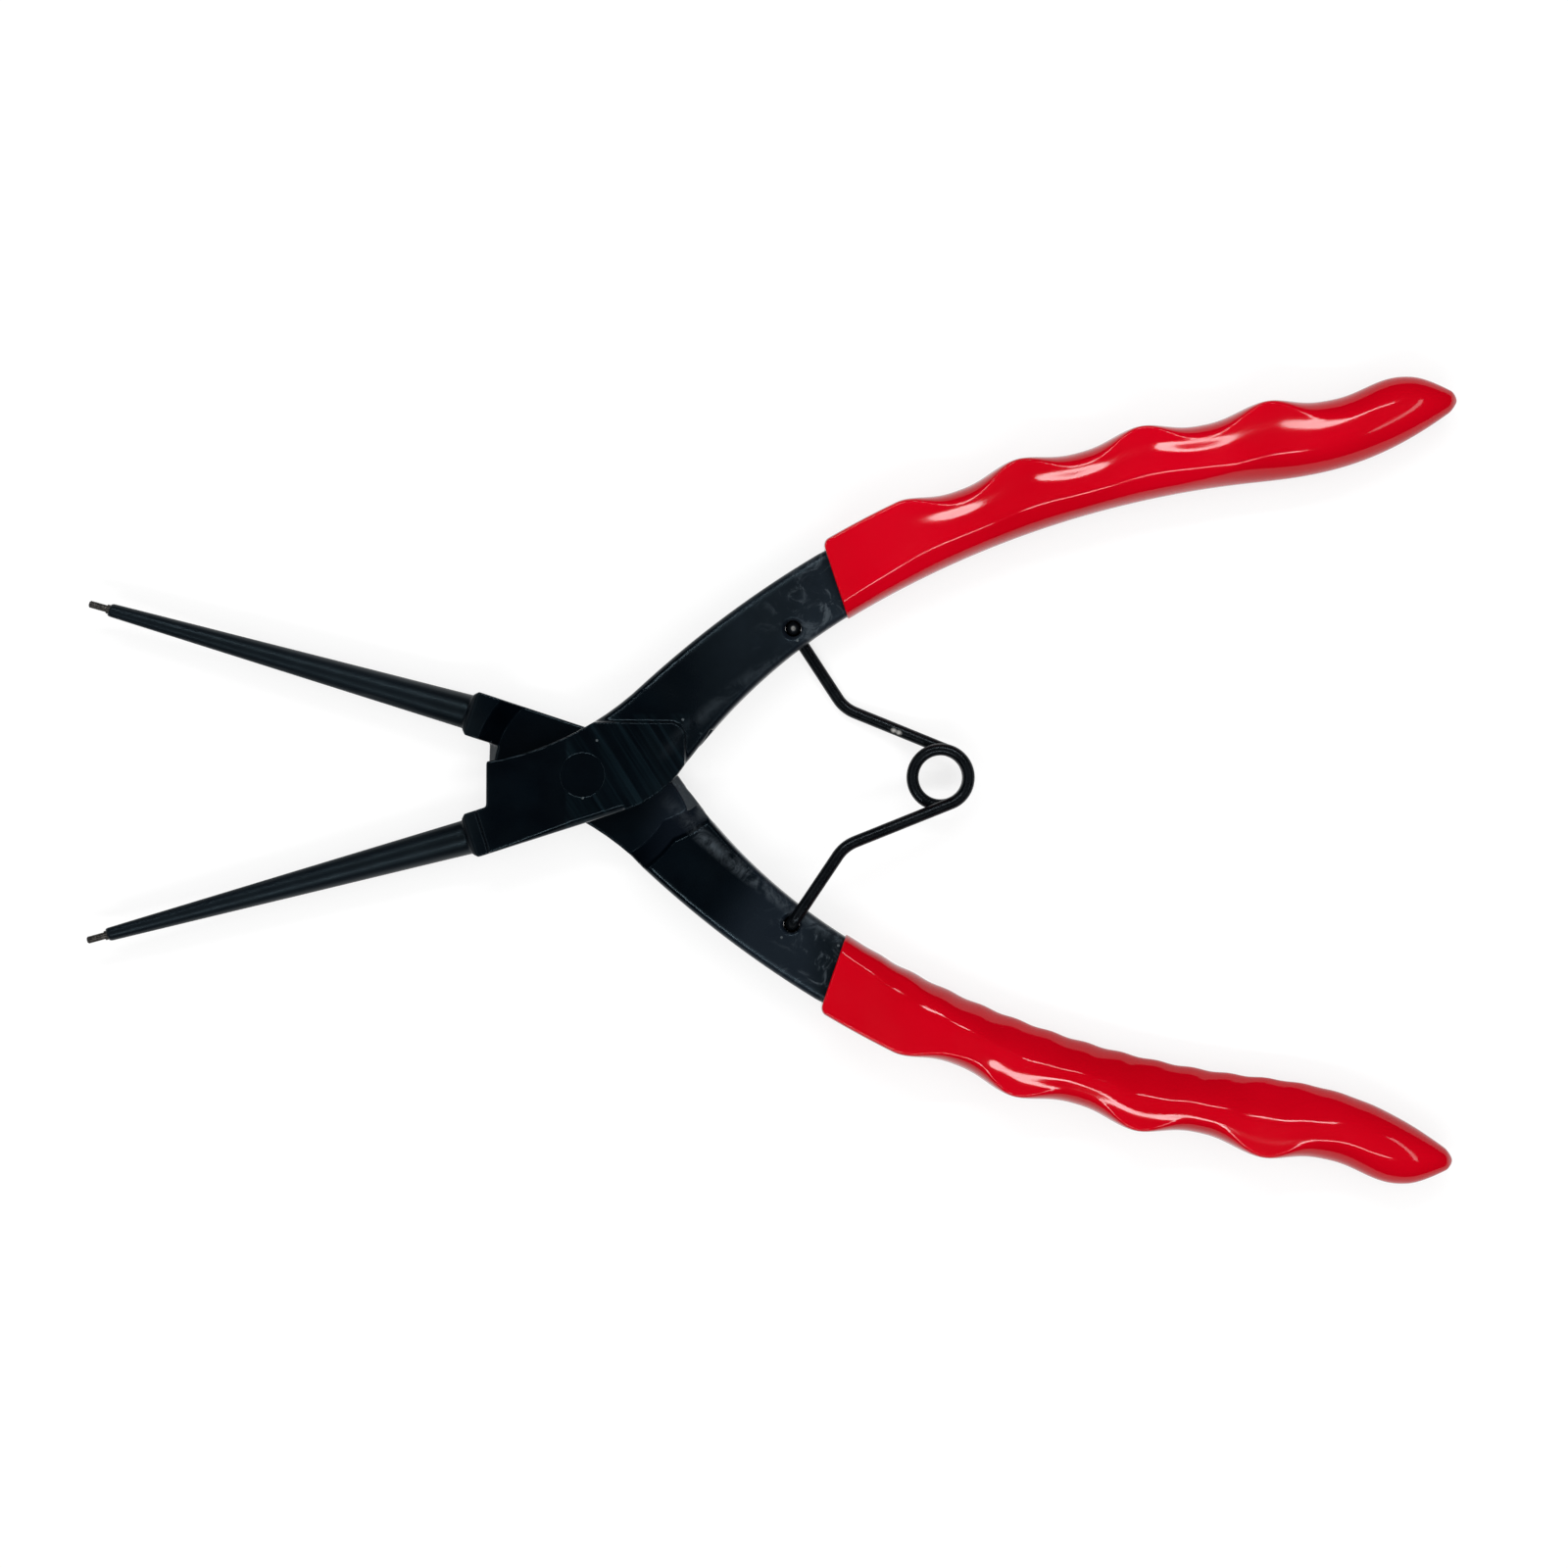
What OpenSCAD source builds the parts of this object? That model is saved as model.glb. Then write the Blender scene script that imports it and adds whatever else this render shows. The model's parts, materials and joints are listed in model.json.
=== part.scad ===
// Circlip pliers for internal rings: two lapped levers on a flush rivet, a wire spring and dipped grips.
// The handles point along +X and the jaws along -X. The rivet's axis is Z, and Z = 0 is the rear joint face.
// One lever is drawn closed about the lap plane, then opened. The other is the same forging turned over.

/* [Overall] */
// Distance from the pivot to the end of a steel jaw
jaw_reach = 84.8; // [60:0.2:120]
// Angle by which each lever stands open at rest
rest_open = 18; // [12:0.5:18]
// Gap left between the jaws when closed
closed_gap = 0.3; // [0.2:0.05:1]
// Radius of each handle's outward bow, to the middle of its bar
bow_r = 171.3; // [140:1:240]
// Distance along the pliers from the pivot to the top of the bow
bow_x = 89; // [80:1:110]
// Height of the bow's top above the centre line when closed
bow_y = 22.3; // [18:0.1:28]

/* [Joint] */
// Thickness of the two lapped plates together
joint_t = 12.4; // [10:0.2:16]
// Gap between the two plates
lap_gap = 0.1; // [0.05:0.05:0.3]
// Distance from the centre line to a lever's straight outer edge
joint_half_w = 7.75; // [6:0.25:10]
// Distance from the pivot to the plate's corner beside its own jaw
plate_reach = 17; // [16:0.25:18]
// Angle between the plate's free end and the jaw's cross direction
plate_lean = 18; // [10:1:25]
// Radius of the plate's rim at the lap plane
rim_r = 15.1; // [13:0.1:16]
// Outward draft of the rim, per unit of height
rim_draft = 0.65; // [0.3:0.05:0.8]
// Radius of the convex hip below the pivot
hip_r = 18.7; // [16:0.1:22]
// Radius of the hip at the lap plane, under its bevel
hip_foot_r = 17; // [15:0.1:18]
// Outward draft of the hip's bevel, per unit of height
hip_draft = 0.7; // [0.4:0.05:0.8]
// Room between a drafted edge and the pocket that it turns in
draft_gap = 0.3; // [0.2:0.05:0.6]
// Distance of the ground pad's end from the pivot, along the pliers at rest
pad_x = 17.1; // [15:0.1:19]
// Distance of the ground pad's side from the pivot, across the pliers at rest
pad_y = 8.9; // [7:0.1:10]
// Corner radius of the ground pad
pad_corner = 2.5; // [1:0.1:4]
// Distance from the pivot to the crease of the jaw-side facet
facet_x = 4; // [3.8:0.1:8]
// Tilt of the jaw-side facet
facet_tilt = 3; // [0:0.5:5]
// Chamfer along the joint's straight outer edge
edge_chamfer = 0.9; // [0.3:0.1:1.5]

/* [Rivet] */
// Diameter of the rivet's shank
rivet_d = 5.5; // [4:0.1:6]
// Diameter of the rivet's countersunk heads
rivet_head_d = 7.2; // [6.5:0.1:7.4]
// Depth of the countersunk heads
rivet_head_h = 1.2; // [0.8:0.1:2]
// Running clearance round the rivet
pivot_gap = 0.04; // [0.02:0.01:0.1]

/* [Jaws] */
// Thickness of the block at the root of a jaw
block_t = 9.6; // [8:0.2:11]
// Distance from the pivot to the block's end
block_reach = 21.7; // [20.5:0.1:26]
// Distance from the pivot to the end of the plate's face on the block
plate_end = 18.8; // [18:0.1:20]
// Bevel round the block's end
block_bevel = 0.8; // [0.2:0.1:1.2]
// Width of the needle where it leaves the block
needle_base_w = 5.9; // [4.5:0.1:6.2]
// Width of the needle at its end
needle_tip_w = 2.3; // [1.9:0.1:3.4]
// Step from the block's inner face in to the needle
needle_relief = 0.9; // [0.3:0.1:1.2]
// Depth of the flat on the needle's inner side
needle_flat = 0.25; // [0.1:0.05:0.4]
// Diameter of the pin in the needle's end
tip_pin_d = 1.2; // [0.8:0.05:1.45]
// Length of pin that stands out
tip_pin_out = 3.4; // [2:0.1:5]
// Length of pin set into the needle
tip_pin_in = 6; // [3:0.5:10]
// Step from the pin's working end out to its thicker root
tip_step = 0.2; // [0.2:0.05:0.25]
// Length of thicker root that stands out
tip_root_out = 0.3; // [0.1:0.1:0.6]
// Clearance round the pin in its hole
tip_pin_gap = 0.02; // [0.01:0.01:0.05]

/* [Arms] */
// Width of the handle bar up to the grip
arm_w = 11.5; // [10:0.1:12]
// Thickness of the arm beside the joint
arm_root_t = 11.2; // [9:0.2:11.6]
// Thickness of the arm at the grip
arm_end_t = 6.6; // [5.5:0.2:7]
// Radius of the flare on the arm's inner edge
flare_r = 96; // [85:1:105]
// Radius of the hollow in the arm's outer edge
hollow_r = 48.8; // [40:0.2:60]
// Distance along the bow from the grip's mouth back to the hollow
hollow_back = 36.2; // [35:0.1:38]
// Radius on the arm's long edges
arm_edge_r = 1.3; // [0.6:0.1:1.6]

/* [Grips] */
// Distance along the bow from its top back to the grip's mouth
mouth_back = 39.2; // [36:0.1:42]
// Lean of the grip's mouth, as distance along the bow per unit of width
mouth_lean = 0.22; // [0:0.02:0.3]
// Length of the grip along the bow
grip_len = 108.2; // [100:0.2:118]
// Distance from the middle of the bar to the grip's inner edge
grip_in = 6.2; // [6:0.1:7]
// Distance from the middle of the bar to the grip's outer edge, between crest and groove
grip_out = 5.3; // [5.1:0.1:6.5]
// Thickness of the grip
grip_t = 12.4; // [10:0.2:12.4]
// Pitch of the finger grooves
groove_pitch = 20.8; // [19.5:0.1:22.5]
// Distance from the mouth to the first crest
first_crest = 14.6; // [12:0.1:16]
// Depth of the finger grooves
groove_depth = 1.8; // [0.8:0.1:2.2]
// Rise of the grip's heel towards the hand's edge
heel_rise = 5.6; // [5:0.1:6.2]
// Length of the heel's rise
heel_len = 44.2; // [42:0.2:48]
// Distance of the blunt nose from the middle of the bar
nose_out = 6.8; // [5.5:0.1:7.5]
// Length over which the inner edge turns out to the nose
nose_len = 35.6; // [30:0.2:38]
// Width of the steel tang inside the grip
tang_w = 7; // [5:0.1:7.2]
// Length over which the bar narrows to the tang
tang_taper = 14; // [10:0.5:16]
// Length of the tang inside the grip
tang_len = 88; // [70:0.5:90]
// Clearance between the tang and the grip
grip_gap = 0.1; // [0.05:0.05:0.3]

/* [Spring] */
// Diameter of the spring wire
wire_d = 2.05; // [1.6:0.05:2.2]
// Mean diameter of the coil
coil_d = 9.4; // [8:0.1:12]
// Distance from the pivot to the coil's middle
coil_x = 60; // [56:0.5:66]
// Slope of the legs where they leave the coil
leg_slope = 22; // [16:0.5:28]
// Distance from the pivot to the kinks in the legs, along the pliers
kink_x = 43.8; // [41:0.1:47]
// Room between two turns of the coil
turn_gap = 0.45; // [0.4:0.05:0.7]
// Distance along the bow from the grip's mouth back to a spring hole
hole_back = 10.2; // [8:0.1:13]
// Distance from the middle of the bar in to a spring hole
hole_in = 2.6; // [1.5:0.1:3]
// Room round the wire in its hole
hole_gap = 0.35; // [0.25:0.05:0.5]
// Diameter of the countersinks on a spring hole
hole_sink_d = 3.8; // [3.4:0.1:4.2]
// Room between a leg and the face of the arm
leg_gap = 0.15; // [0.1:0.05:0.3]

/* [Hidden] */
$fn = 64;
far = 60;
lap_z = lap_gap / 2;
face_z = joint_t / 2;
inner_y = -closed_gap / 2;
steel = [0.09, 0.11, 0.13];
vinyl = [0.85, 0.02, 0.07];
tip_steel = [0.35, 0.33, 0.31];

// Bow of the handle, as a polar frame whose angle runs from +Y towards +X
bow_c = [bow_x, bow_y - bow_r];
mouth_a = -bow_angle(mouth_back);
function bow_angle(s) = s / bow_r * 180 / PI;
function at(u) = mouth_a + bow_angle(u);
function bow_dir(a) = [sin(a), cos(a)];
function bow_point(a, r) = bow_c + r * bow_dir(a);

// Distance from the bow's middle to the far or the near side of a circle, along one bow angle
function to_circle(c, r, a, side) =
    let (d = c - bow_c, b = d * bow_dir(a))
    b + side * sqrt(max(0, b * b - d * d + r * r));

// Flare of the inner edge, tangent to the bar at the grip's mouth, and hip tangent to the flare
bar_in_r = bow_r - arm_w / 2;
bar_out_r = bow_r + arm_w / 2;
flare_c = bow_point(mouth_a, bar_in_r - flare_r);
hip_y = hip_r - joint_half_w;
hip_c = [flare_c.x - sqrt(pow(hip_r + flare_r, 2) - pow(hip_y - flare_c.y, 2)), hip_y];
hip_end = hip_c + hip_r / (hip_r + flare_r) * (flare_c - hip_c);
hip_end_a = atan2(hip_end.x - bow_c.x, hip_end.y - bow_c.y);
hollow_a = at(-hollow_back);
hollow_c = bow_point(hollow_a, bar_out_r + hollow_r);
arm_root_len = 12.4;
arm_start_a = hip_end_a - bow_angle(arm_root_len);
arm_start_w = 4;
root_inset = 0.2;
root_step = 0.01;
tang_end_a = at(tang_len);

// The steel bar's inner edge, outer edge and half thickness at a bow angle
function ramp(t) = max(0, min(1, t));
function along(a) = (a - mouth_a) * PI / 180 * bow_r;
function eased(t) = t * t * (3 - 2 * t);
function bar_narrow(a) = (arm_w - tang_w) / 2 * eased(ramp(along(a) / tang_taper));
function bar_out(a) = a < hollow_a ? to_circle(hollow_c, hollow_r, a, -1) : bar_out_r - bar_narrow(a);
function bar_in(a) =
    a >= mouth_a ? bar_in_r + bar_narrow(a)
    : a > hip_end_a + root_step ? to_circle(flare_c, flare_r, a, 1)
    : let (t = (hip_end_a - a) / (hip_end_a - arm_start_a))
      (to_circle(flare_c, flare_r, hip_end_a, 1) + root_inset) * (1 - t) + t * (bar_out(a) - arm_start_w);
function bar_half_t(a) = (arm_end_t + (arm_root_t - arm_end_t) * ramp(-along(a) / hollow_back)) / 2;

// Rounded bar section as points of distance and height, with a given number of points on each corner
function bar_section(r0, r1, h, e, n) = [
    for (q = [0:3], j = [0:n - 1])
        let (b = 90 * q + 90 * j / (n - 1), inner = q == 1 || q == 2, low = q > 1)
        [(inner ? r0 + e : r1 - e) + e * cos(b), (low ? e - h : h - e) + e * sin(b)]
];
function bow_ring(a, section) = [for (p = section) [each bow_point(a, p.x), p.y]];
function spread(a, b, n) = [for (i = [0:n]) a + (b - a) * i / n];

// Grip edges by distance from the mouth
crest_power = 1.3;
function groove(u) =
    let (turn = 360 * (max(u, first_crest) - first_crest) / groove_pitch)
    groove_depth * (pow((1 + cos(turn)) / 2, crest_power) - 1 / 2);
heel_back = 50.4;
heel_from = grip_len - heel_back;
mouth_swell = 2.4;
mouth_swell_len = 48;
nose_drop = 3;
nose_round = 7.5;
nose_power = 2.7;
nose_half_t = 0.5;
function grip_outer(u) =
    bow_r + grip_out + groove(u)
    + mouth_swell * pow(ramp(1 - max(u, first_crest) / mouth_swell_len), 2)
    + heel_rise * pow(max(0, u - heel_from) / heel_len, 2)
    - nose_drop * pow(max(0, u - grip_len + nose_round) / nose_round, 2);
function nose_turn(u) = pow(max(0, u - grip_len + nose_len) / nose_len, nose_power);
function grip_inner(u) =
    let (r = bow_r - grip_in, end = bow_r + nose_out - nose_half_t)
    r + (end - r) * nose_turn(u);
mouth_thin = 1;
mouth_half_t = grip_t / 2 - mouth_thin;
mouth_ease = 25;
function grip_half_t(u) =
    let (t = ramp(1 - u / mouth_ease), n = max(0, u - grip_len + nose_len) / nose_len)
    max(nose_half_t, (grip_t / 2 - (grip_t / 2 - mouth_half_t) * t * t) * sqrt(1 - pow(n, 3)));

// Bow angle of a point of the grip, whose rings lean by the mouth and stand square further in
function leant(u, r) = at(u + mouth_lean * (r - bow_r) * ramp(1 - u / mouth_ease));
function leant_ring(u, section) = [for (p = section) [each bow_point(leant(u, p.x), p.x), p.y]];

// Oval section between two edges, a little squarer than an ellipse
grip_square = 2.5;
function oval(v) = sign(v) * pow(abs(v), 2 / grip_square);
function grip_section(r0, r1, h, n) = [
    for (i = [0:n - 1])
        let (b = 360 * (i + 0.5) / n)
        [(r0 + r1) / 2 + (r1 - r0) / 2 * oval(cos(b)), h * oval(sin(b))]
];

// Spring hole in a closed front lever, and the arm's half thickness there
hole_a = at(-hole_back);
hole_p = bow_point(hole_a, bow_r - hole_in);
hole_half_t = bar_half_t(hole_a);
hole_d = wire_d + 2 * hole_gap;
sink_depth = (hole_sink_d - hole_d) / 2;

// Jaw's needle: a cone whose inner side is flat
needle_base_y = inner_y - needle_relief - needle_base_w / 2;
needle_tip_y = inner_y - needle_tip_w / 2;
needle_len = jaw_reach - block_reach;
needle_turn = atan2(needle_tip_y - needle_base_y, needle_len);
needle_end = 0.4;
tip_root_d = tip_pin_d + 2 * tip_step;
needle_root = 2;

// Closed solid through rings of as many points each
module loft(rings) {
    m = len(rings[0]);
    last = len(rings) - 1;
    polyhedron(
        points = [for (r = rings) each r],
        faces = concat(
            [[for (j = [0:m - 1]) j]],
            [for (i = [0:last - 1], j = [0:m - 1], half = [0, 1])
                let (k = (j + 1) % m, p = i * m + j, q = (i + 1) * m + k)
                half == 0 ? [p, (i + 1) * m + j, q] : [p, q, i * m + k]],
            [[for (j = [m - 1:-1:0]) last * m + j]]
        ),
        convexity = 6
    );
}

// Turns a closed lever, drawn about the lap plane, into the front or the rear one at rest
module front_place() {
    translate([0, 0, face_z]) rotate(rest_open) children();
}

module rear_place() {
    translate([0, 0, face_z]) rotate(-rest_open) rotate([180, 0, 0]) children();
}

// Cone about the Z axis whose radius grows by draft from the lap plane, upwards or downwards
module drafted(c, foot, draft, up) {
    translate([c.x, c.y, up ? -lap_z : lap_z - far])
        cylinder(
            h = far,
            r1 = up ? foot : foot + draft * far,
            r2 = up ? foot + draft * far : foot,
            $fn = 128
        );
}

// Outline of the lever's plate, limited by the hollow, the hip, the flare and the pad's end
plate_inset = 0.05;
plate_top = 16;
plate_corner = hip_end + [6, 5];
module pad_outline() {
    rotate(-rest_open) {
        translate([-far, -far]) square([far + pad_x - pad_corner, far + pad_y]);
        translate([-far, -far]) square([far + pad_x, far + pad_y - pad_corner]);
        translate([pad_x - pad_corner, pad_y - pad_corner]) circle(pad_corner);
    }
}

module plate_outline() {
    lean = tan(plate_lean);
    difference() {
        union() {
            polygon([
                [-plate_end, -joint_half_w],
                [hip_c.x, -joint_half_w],
                hip_end,
                plate_corner,
                [hip_end.x, plate_top],
                [lean * (plate_top - inner_y) - plate_reach, plate_top],
                [-plate_reach, inner_y],
                [-plate_end, inner_y]
            ]);
            intersection() {
                translate(hip_c) circle(hip_r, $fn = 128);
                translate([hip_c.x, -joint_half_w]) square(hip_end - [hip_c.x, -joint_half_w]);
            }
        }
        translate(hollow_c) circle(hollow_r + plate_inset, $fn = 256);
        translate(flare_c) circle(flare_r + plate_inset, $fn = 360);
    }
}

module plate() {
    difference() {
        translate([0, 0, lap_z]) linear_extrude(face_z - lap_z) intersection() {
            plate_outline();
            pad_outline();
        }
        translate([-facet_x, -far, face_z]) rotate([0, -facet_tilt, 0])
            translate([-far, 0, 0]) cube([far, 2 * far, far]);
        translate([-far, -joint_half_w, face_z]) rotate([45, 0, 0])
            translate([0, -far, -edge_chamfer / sqrt(2)]) cube([far + hip_c.x, 2 * far, far]);
    }
}

// Handle bar from the joint to the end of the tang
arm_points = 4;
module handle_bar() {
    turns = concat(
        spread(arm_start_a, hip_end_a, 5),
        [for (a = spread(hip_end_a, mouth_a, 16)) if (a > hip_end_a) a],
        [for (a = spread(mouth_a, at(tang_taper), 6)) if (a > mouth_a) a],
        [for (a = spread(at(tang_taper), tang_end_a, 24)) if (a > at(tang_taper)) a]
    );
    loft([
        for (a = turns)
            bow_ring(a, bar_section(bar_in(a), bar_out(a), bar_half_t(a), arm_edge_r, arm_points))
    ]);
}

// Block and needle of the jaw
block_in = rim_r - 2;
module block_side(low, high) {
    polygon([
        [-block_in, low],
        [-block_reach + block_bevel, low],
        [-block_reach, low + block_bevel],
        [-block_reach, high - block_bevel],
        [-block_reach + block_bevel, high],
        [-block_in, high]
    ]);
}

module jaw() {
    intersection() {
        translate([0, 0, -block_t / 2]) linear_extrude(block_t) block_side(-joint_half_w, inner_y);
        translate([0, inner_y, 0]) rotate([90, 0, 0])
            linear_extrude(joint_half_w + inner_y) block_side(-block_t / 2, block_t / 2);
    }
    needle();
}

module needle() {
    base_r = needle_base_w / 2 + needle_flat / 2;
    tip_r = needle_tip_w / 2 + needle_flat / 2;
    difference() {
        translate([-block_reach, needle_base_y + needle_flat / 2, 0])
            rotate([0, 0, 180 - needle_turn]) rotate([0, 90, 0]) {
                translate([0, 0, -needle_root]) cylinder(h = needle_root, r = base_r);
                cylinder(h = needle_len - needle_end, r1 = base_r, r2 = tip_r);
                translate([0, 0, needle_len - needle_end])
                    cylinder(h = needle_end, r1 = tip_r, r2 = tip_r - needle_end);
            }
        translate([-block_reach, inner_y - needle_relief, 0])
            rotate(180 - atan2(needle_relief, needle_len))
                translate([-needle_root, -far, -far]) cube([far * 2, far, far * 2]);
    }
}

// Axis of the tip pin, along +Z from the needle's end face
module at_tip() {
    translate([-block_reach, needle_base_y, 0])
        rotate([0, 0, 180 - needle_turn]) rotate([0, 90, 0])
            translate([0, 0, needle_len]) children();
}

// Pocket in the far half of the lever, in which the other lever's plate and hip turn
module lap_pocket() {
    drafted([0, 0], rim_r + draft_gap, rim_draft, false);
    intersection() {
        drafted([hip_c.x, -hip_c.y], hip_foot_r + draft_gap, hip_draft, false);
        translate([0, -far, -far]) cube(2 * far);
    }
}

// Bevel under the plate's free end, which turns past the other lever's jaw block
module rim_bevel() {
    difference() {
        translate([-far, inner_y, -lap_z]) cube([far - facet_x, far, far]);
        drafted([0, 0], rim_r, rim_draft, true);
    }
}

// Bevel under the hip, where the closed levers cross
cross_x = flare_c.x - sqrt(pow(flare_r, 2) - pow(flare_c.y, 2));
cross_run = 5;
cross_gap = 0.8;
module hip_bevel() {
    difference() {
        translate([0, 0, -lap_z]) linear_extrude(far) polygon([
            [hip_c.x, -far],
            [cross_x + cross_run, -far],
            [cross_x + cross_gap, cross_gap],
            [hip_end.x, draft_gap - hip_end.y],
            [hip_c.x, draft_gap - hip_end.y]
        ]);
        drafted(hip_c, hip_foot_r, hip_draft, true);
    }
}

module rivet_form(gap) {
    r = rivet_d / 2 + gap;
    head_r = rivet_head_d / 2 + gap;
    rotate_extrude() polygon([
        [0, -face_z], [head_r, -face_z], [r, rivet_head_h - face_z],
        [r, face_z - rivet_head_h], [head_r, face_z], [0, face_z]
    ]);
}

module spring_hole() {
    translate([hole_p.x, hole_p.y, 0]) {
        cylinder(h = far, d = hole_d, center = true);
        for (side = [0, 1]) mirror([0, 0, side])
            translate([0, 0, hole_half_t - sink_depth])
                cylinder(h = sink_depth * 2, d1 = hole_d, d2 = hole_d + 4 * sink_depth);
    }
}

module lever() {
    difference() {
        union() {
            plate();
            handle_bar();
            jaw();
        }
        lap_pocket();
        rim_bevel();
        hip_bevel();
        rivet_form(pivot_gap);
        spring_hole();
        at_tip() translate([0, 0, -tip_pin_in]) cylinder(h = far, d = tip_root_d + 2 * tip_pin_gap, $fn = 32);
    }
}

// Sleeve with a closed nose, open at the mouth over the bar
grip_sides = 24;
nose_crowd = 1.35;
module grip() {
    inside = spread(tang_len + grip_gap, 0, 34);
    outside = [for (t = spread(0, 1, 54)) grip_len * (1 - pow(1 - t, nose_crowd))];
    loft(concat(
        [for (u = inside)
            let (in_a = leant(u, bar_in_r), out_a = leant(u, bar_out_r))
            leant_ring(u, bar_section(
                bar_in(in_a) - grip_gap, bar_out(out_a) + grip_gap, bar_half_t(in_a) + grip_gap,
                arm_edge_r, grip_sides / 4))],
        [for (u = outside)
            leant_ring(u, grip_section(grip_inner(u), grip_outer(u), grip_half_t(u), grip_sides))]
    ));
}

pin_bevel = tip_pin_d / 6;
module tip_pin() {
    at_tip() {
        translate([0, 0, -tip_pin_in])
            cylinder(h = tip_pin_in + tip_root_out, d = tip_root_d, $fn = 32);
        cylinder(h = tip_pin_out - pin_bevel, d = tip_pin_d, $fn = 32);
        translate([0, 0, tip_pin_out - pin_bevel])
            cylinder(h = pin_bevel, d1 = tip_pin_d, d2 = tip_pin_d - 2 * pin_bevel, $fn = 32);
    }
}

// Half of the spring wire at rest, about the lap plane, from the front lever's hole to the middle of the coil.
// The wire is one piece. It is split there, so that each half turns on its own hole as the legs close.
wire_sides = 12;
leg_z = hole_half_t + leg_gap + wire_d / 2;
hole_rest = [
    hole_p.x * cos(rest_open) - hole_p.y * sin(rest_open),
    hole_p.x * sin(rest_open) + hole_p.y * cos(rest_open)
];
half_turn = 180 + 90 - leg_slope;
half_rise = (wire_d + turn_gap) * half_turn / 360;
leave_p = [coil_x + coil_d / 2 * sin(leg_slope), coil_d / 2 * cos(leg_slope)];
kink_y = leave_p.y + (leave_p.x - kink_x) * tan(leg_slope);
peg_short = 0.2;
peg_end = hole_half_t - peg_short;
hook_r = 1.9;
kink_r = 2;
split_gap = 0.15;

// Points round a corner between two straight stretches, from one length before it to one after it
function rounded(a, b, c, r, n) =
    let (p = b + r * (a - b) / norm(a - b), q = b + r * (c - b) / norm(c - b))
    [for (t = spread(0, 1, n)) pow(1 - t, 2) * p + 2 * t * (1 - t) * b + t * t * q];
coil_points = 24;
split_turn = split_gap / (coil_d / 2) * 180 / PI;
coil_path = [
    for (t = spread(half_turn, split_turn, coil_points))
        [coil_x + coil_d / 2 * cos(180 + t), coil_d / 2 * sin(180 + t), -half_rise * t / half_turn]
];
peg_p = [hole_rest.x, hole_rest.y, peg_end];
hook_p = [hole_rest.x, hole_rest.y, -leg_z];
kink_p = [kink_x, kink_y, -leg_z];
wire_path = concat(
    [peg_p],
    rounded(peg_p, hook_p, kink_p, hook_r, 6),
    rounded(hook_p, kink_p, coil_path[0], kink_r, 5),
    coil_path
);

// Section frames carried along the wire without twisting
function unit(v) = v / norm(v);
function heading(p, i) = unit(p[min(i + 1, len(p) - 1)] - p[max(i - 1, 0)]);
function carried(p, i, n) =
    i == len(p) ? []
    : let (t = heading(p, i), m = unit(n - (n * t) * t))
      concat([[m, cross(t, m)]], carried(p, i + 1, m));

module front_lever() {
    color(steel) front_place() lever();
}

module rear_lever() {
    color(steel) rear_place() lever();
}

module pivot_rivet() {
    color(steel) translate([0, 0, face_z]) rivet_form(0);
}

// The two halves are the same bend of wire, turned over like the levers
module spring_half() {
    frames = carried(wire_path, 0, [1, 0, 0]);
    loft([
        for (i = [0:len(wire_path) - 1]) [
            for (j = [0:wire_sides - 1])
                let (b = 360 * j / wire_sides)
                wire_path[i] + wire_d / 2 * (cos(b) * frames[i][0] + sin(b) * frames[i][1])
        ]
    ]);
}

module front_spring_half() {
    color(steel) translate([0, 0, face_z]) spring_half();
}

module rear_spring_half() {
    color(steel) translate([0, 0, face_z]) rotate([180, 0, 0]) spring_half();
}

module front_grip() {
    color(vinyl) front_place() grip();
}

module rear_grip() {
    color(vinyl) rear_place() grip();
}

module front_tip_pin() {
    color(tip_steel) front_place() tip_pin();
}

module rear_tip_pin() {
    color(tip_steel) rear_place() tip_pin();
}

front_lever();
rear_lever();
pivot_rivet();
front_spring_half();
rear_spring_half();
front_grip();
rear_grip();
front_tip_pin();
rear_tip_pin();
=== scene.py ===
"""Looks of a pair of circlip pliers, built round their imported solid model."""

import json
import math

import bmesh
import bpy
from mathutils import Matrix, Vector


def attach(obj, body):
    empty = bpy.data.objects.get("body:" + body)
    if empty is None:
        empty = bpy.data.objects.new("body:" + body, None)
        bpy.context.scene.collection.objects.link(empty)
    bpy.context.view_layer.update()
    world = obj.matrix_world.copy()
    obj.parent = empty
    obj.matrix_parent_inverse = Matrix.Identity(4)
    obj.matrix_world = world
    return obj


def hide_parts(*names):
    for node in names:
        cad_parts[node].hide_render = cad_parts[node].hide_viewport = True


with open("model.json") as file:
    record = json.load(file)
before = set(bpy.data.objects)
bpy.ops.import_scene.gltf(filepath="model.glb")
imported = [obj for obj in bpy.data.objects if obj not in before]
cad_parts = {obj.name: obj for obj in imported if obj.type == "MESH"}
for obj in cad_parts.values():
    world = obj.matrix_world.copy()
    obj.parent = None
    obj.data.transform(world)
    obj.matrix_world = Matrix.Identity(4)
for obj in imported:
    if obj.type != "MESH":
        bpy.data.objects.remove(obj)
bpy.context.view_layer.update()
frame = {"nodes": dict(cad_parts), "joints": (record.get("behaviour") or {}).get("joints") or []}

bl_info = {
    "name": "Circlip Pliers",
    "version": (1, 0, 0),
    "blender": (4, 5, 0),
    "location": "View3D > Sidebar > Pliers",
    "description": "Finishes the levers, grips, spring and tips of a pair of circlip pliers",
    "category": "Object",
}

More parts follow.
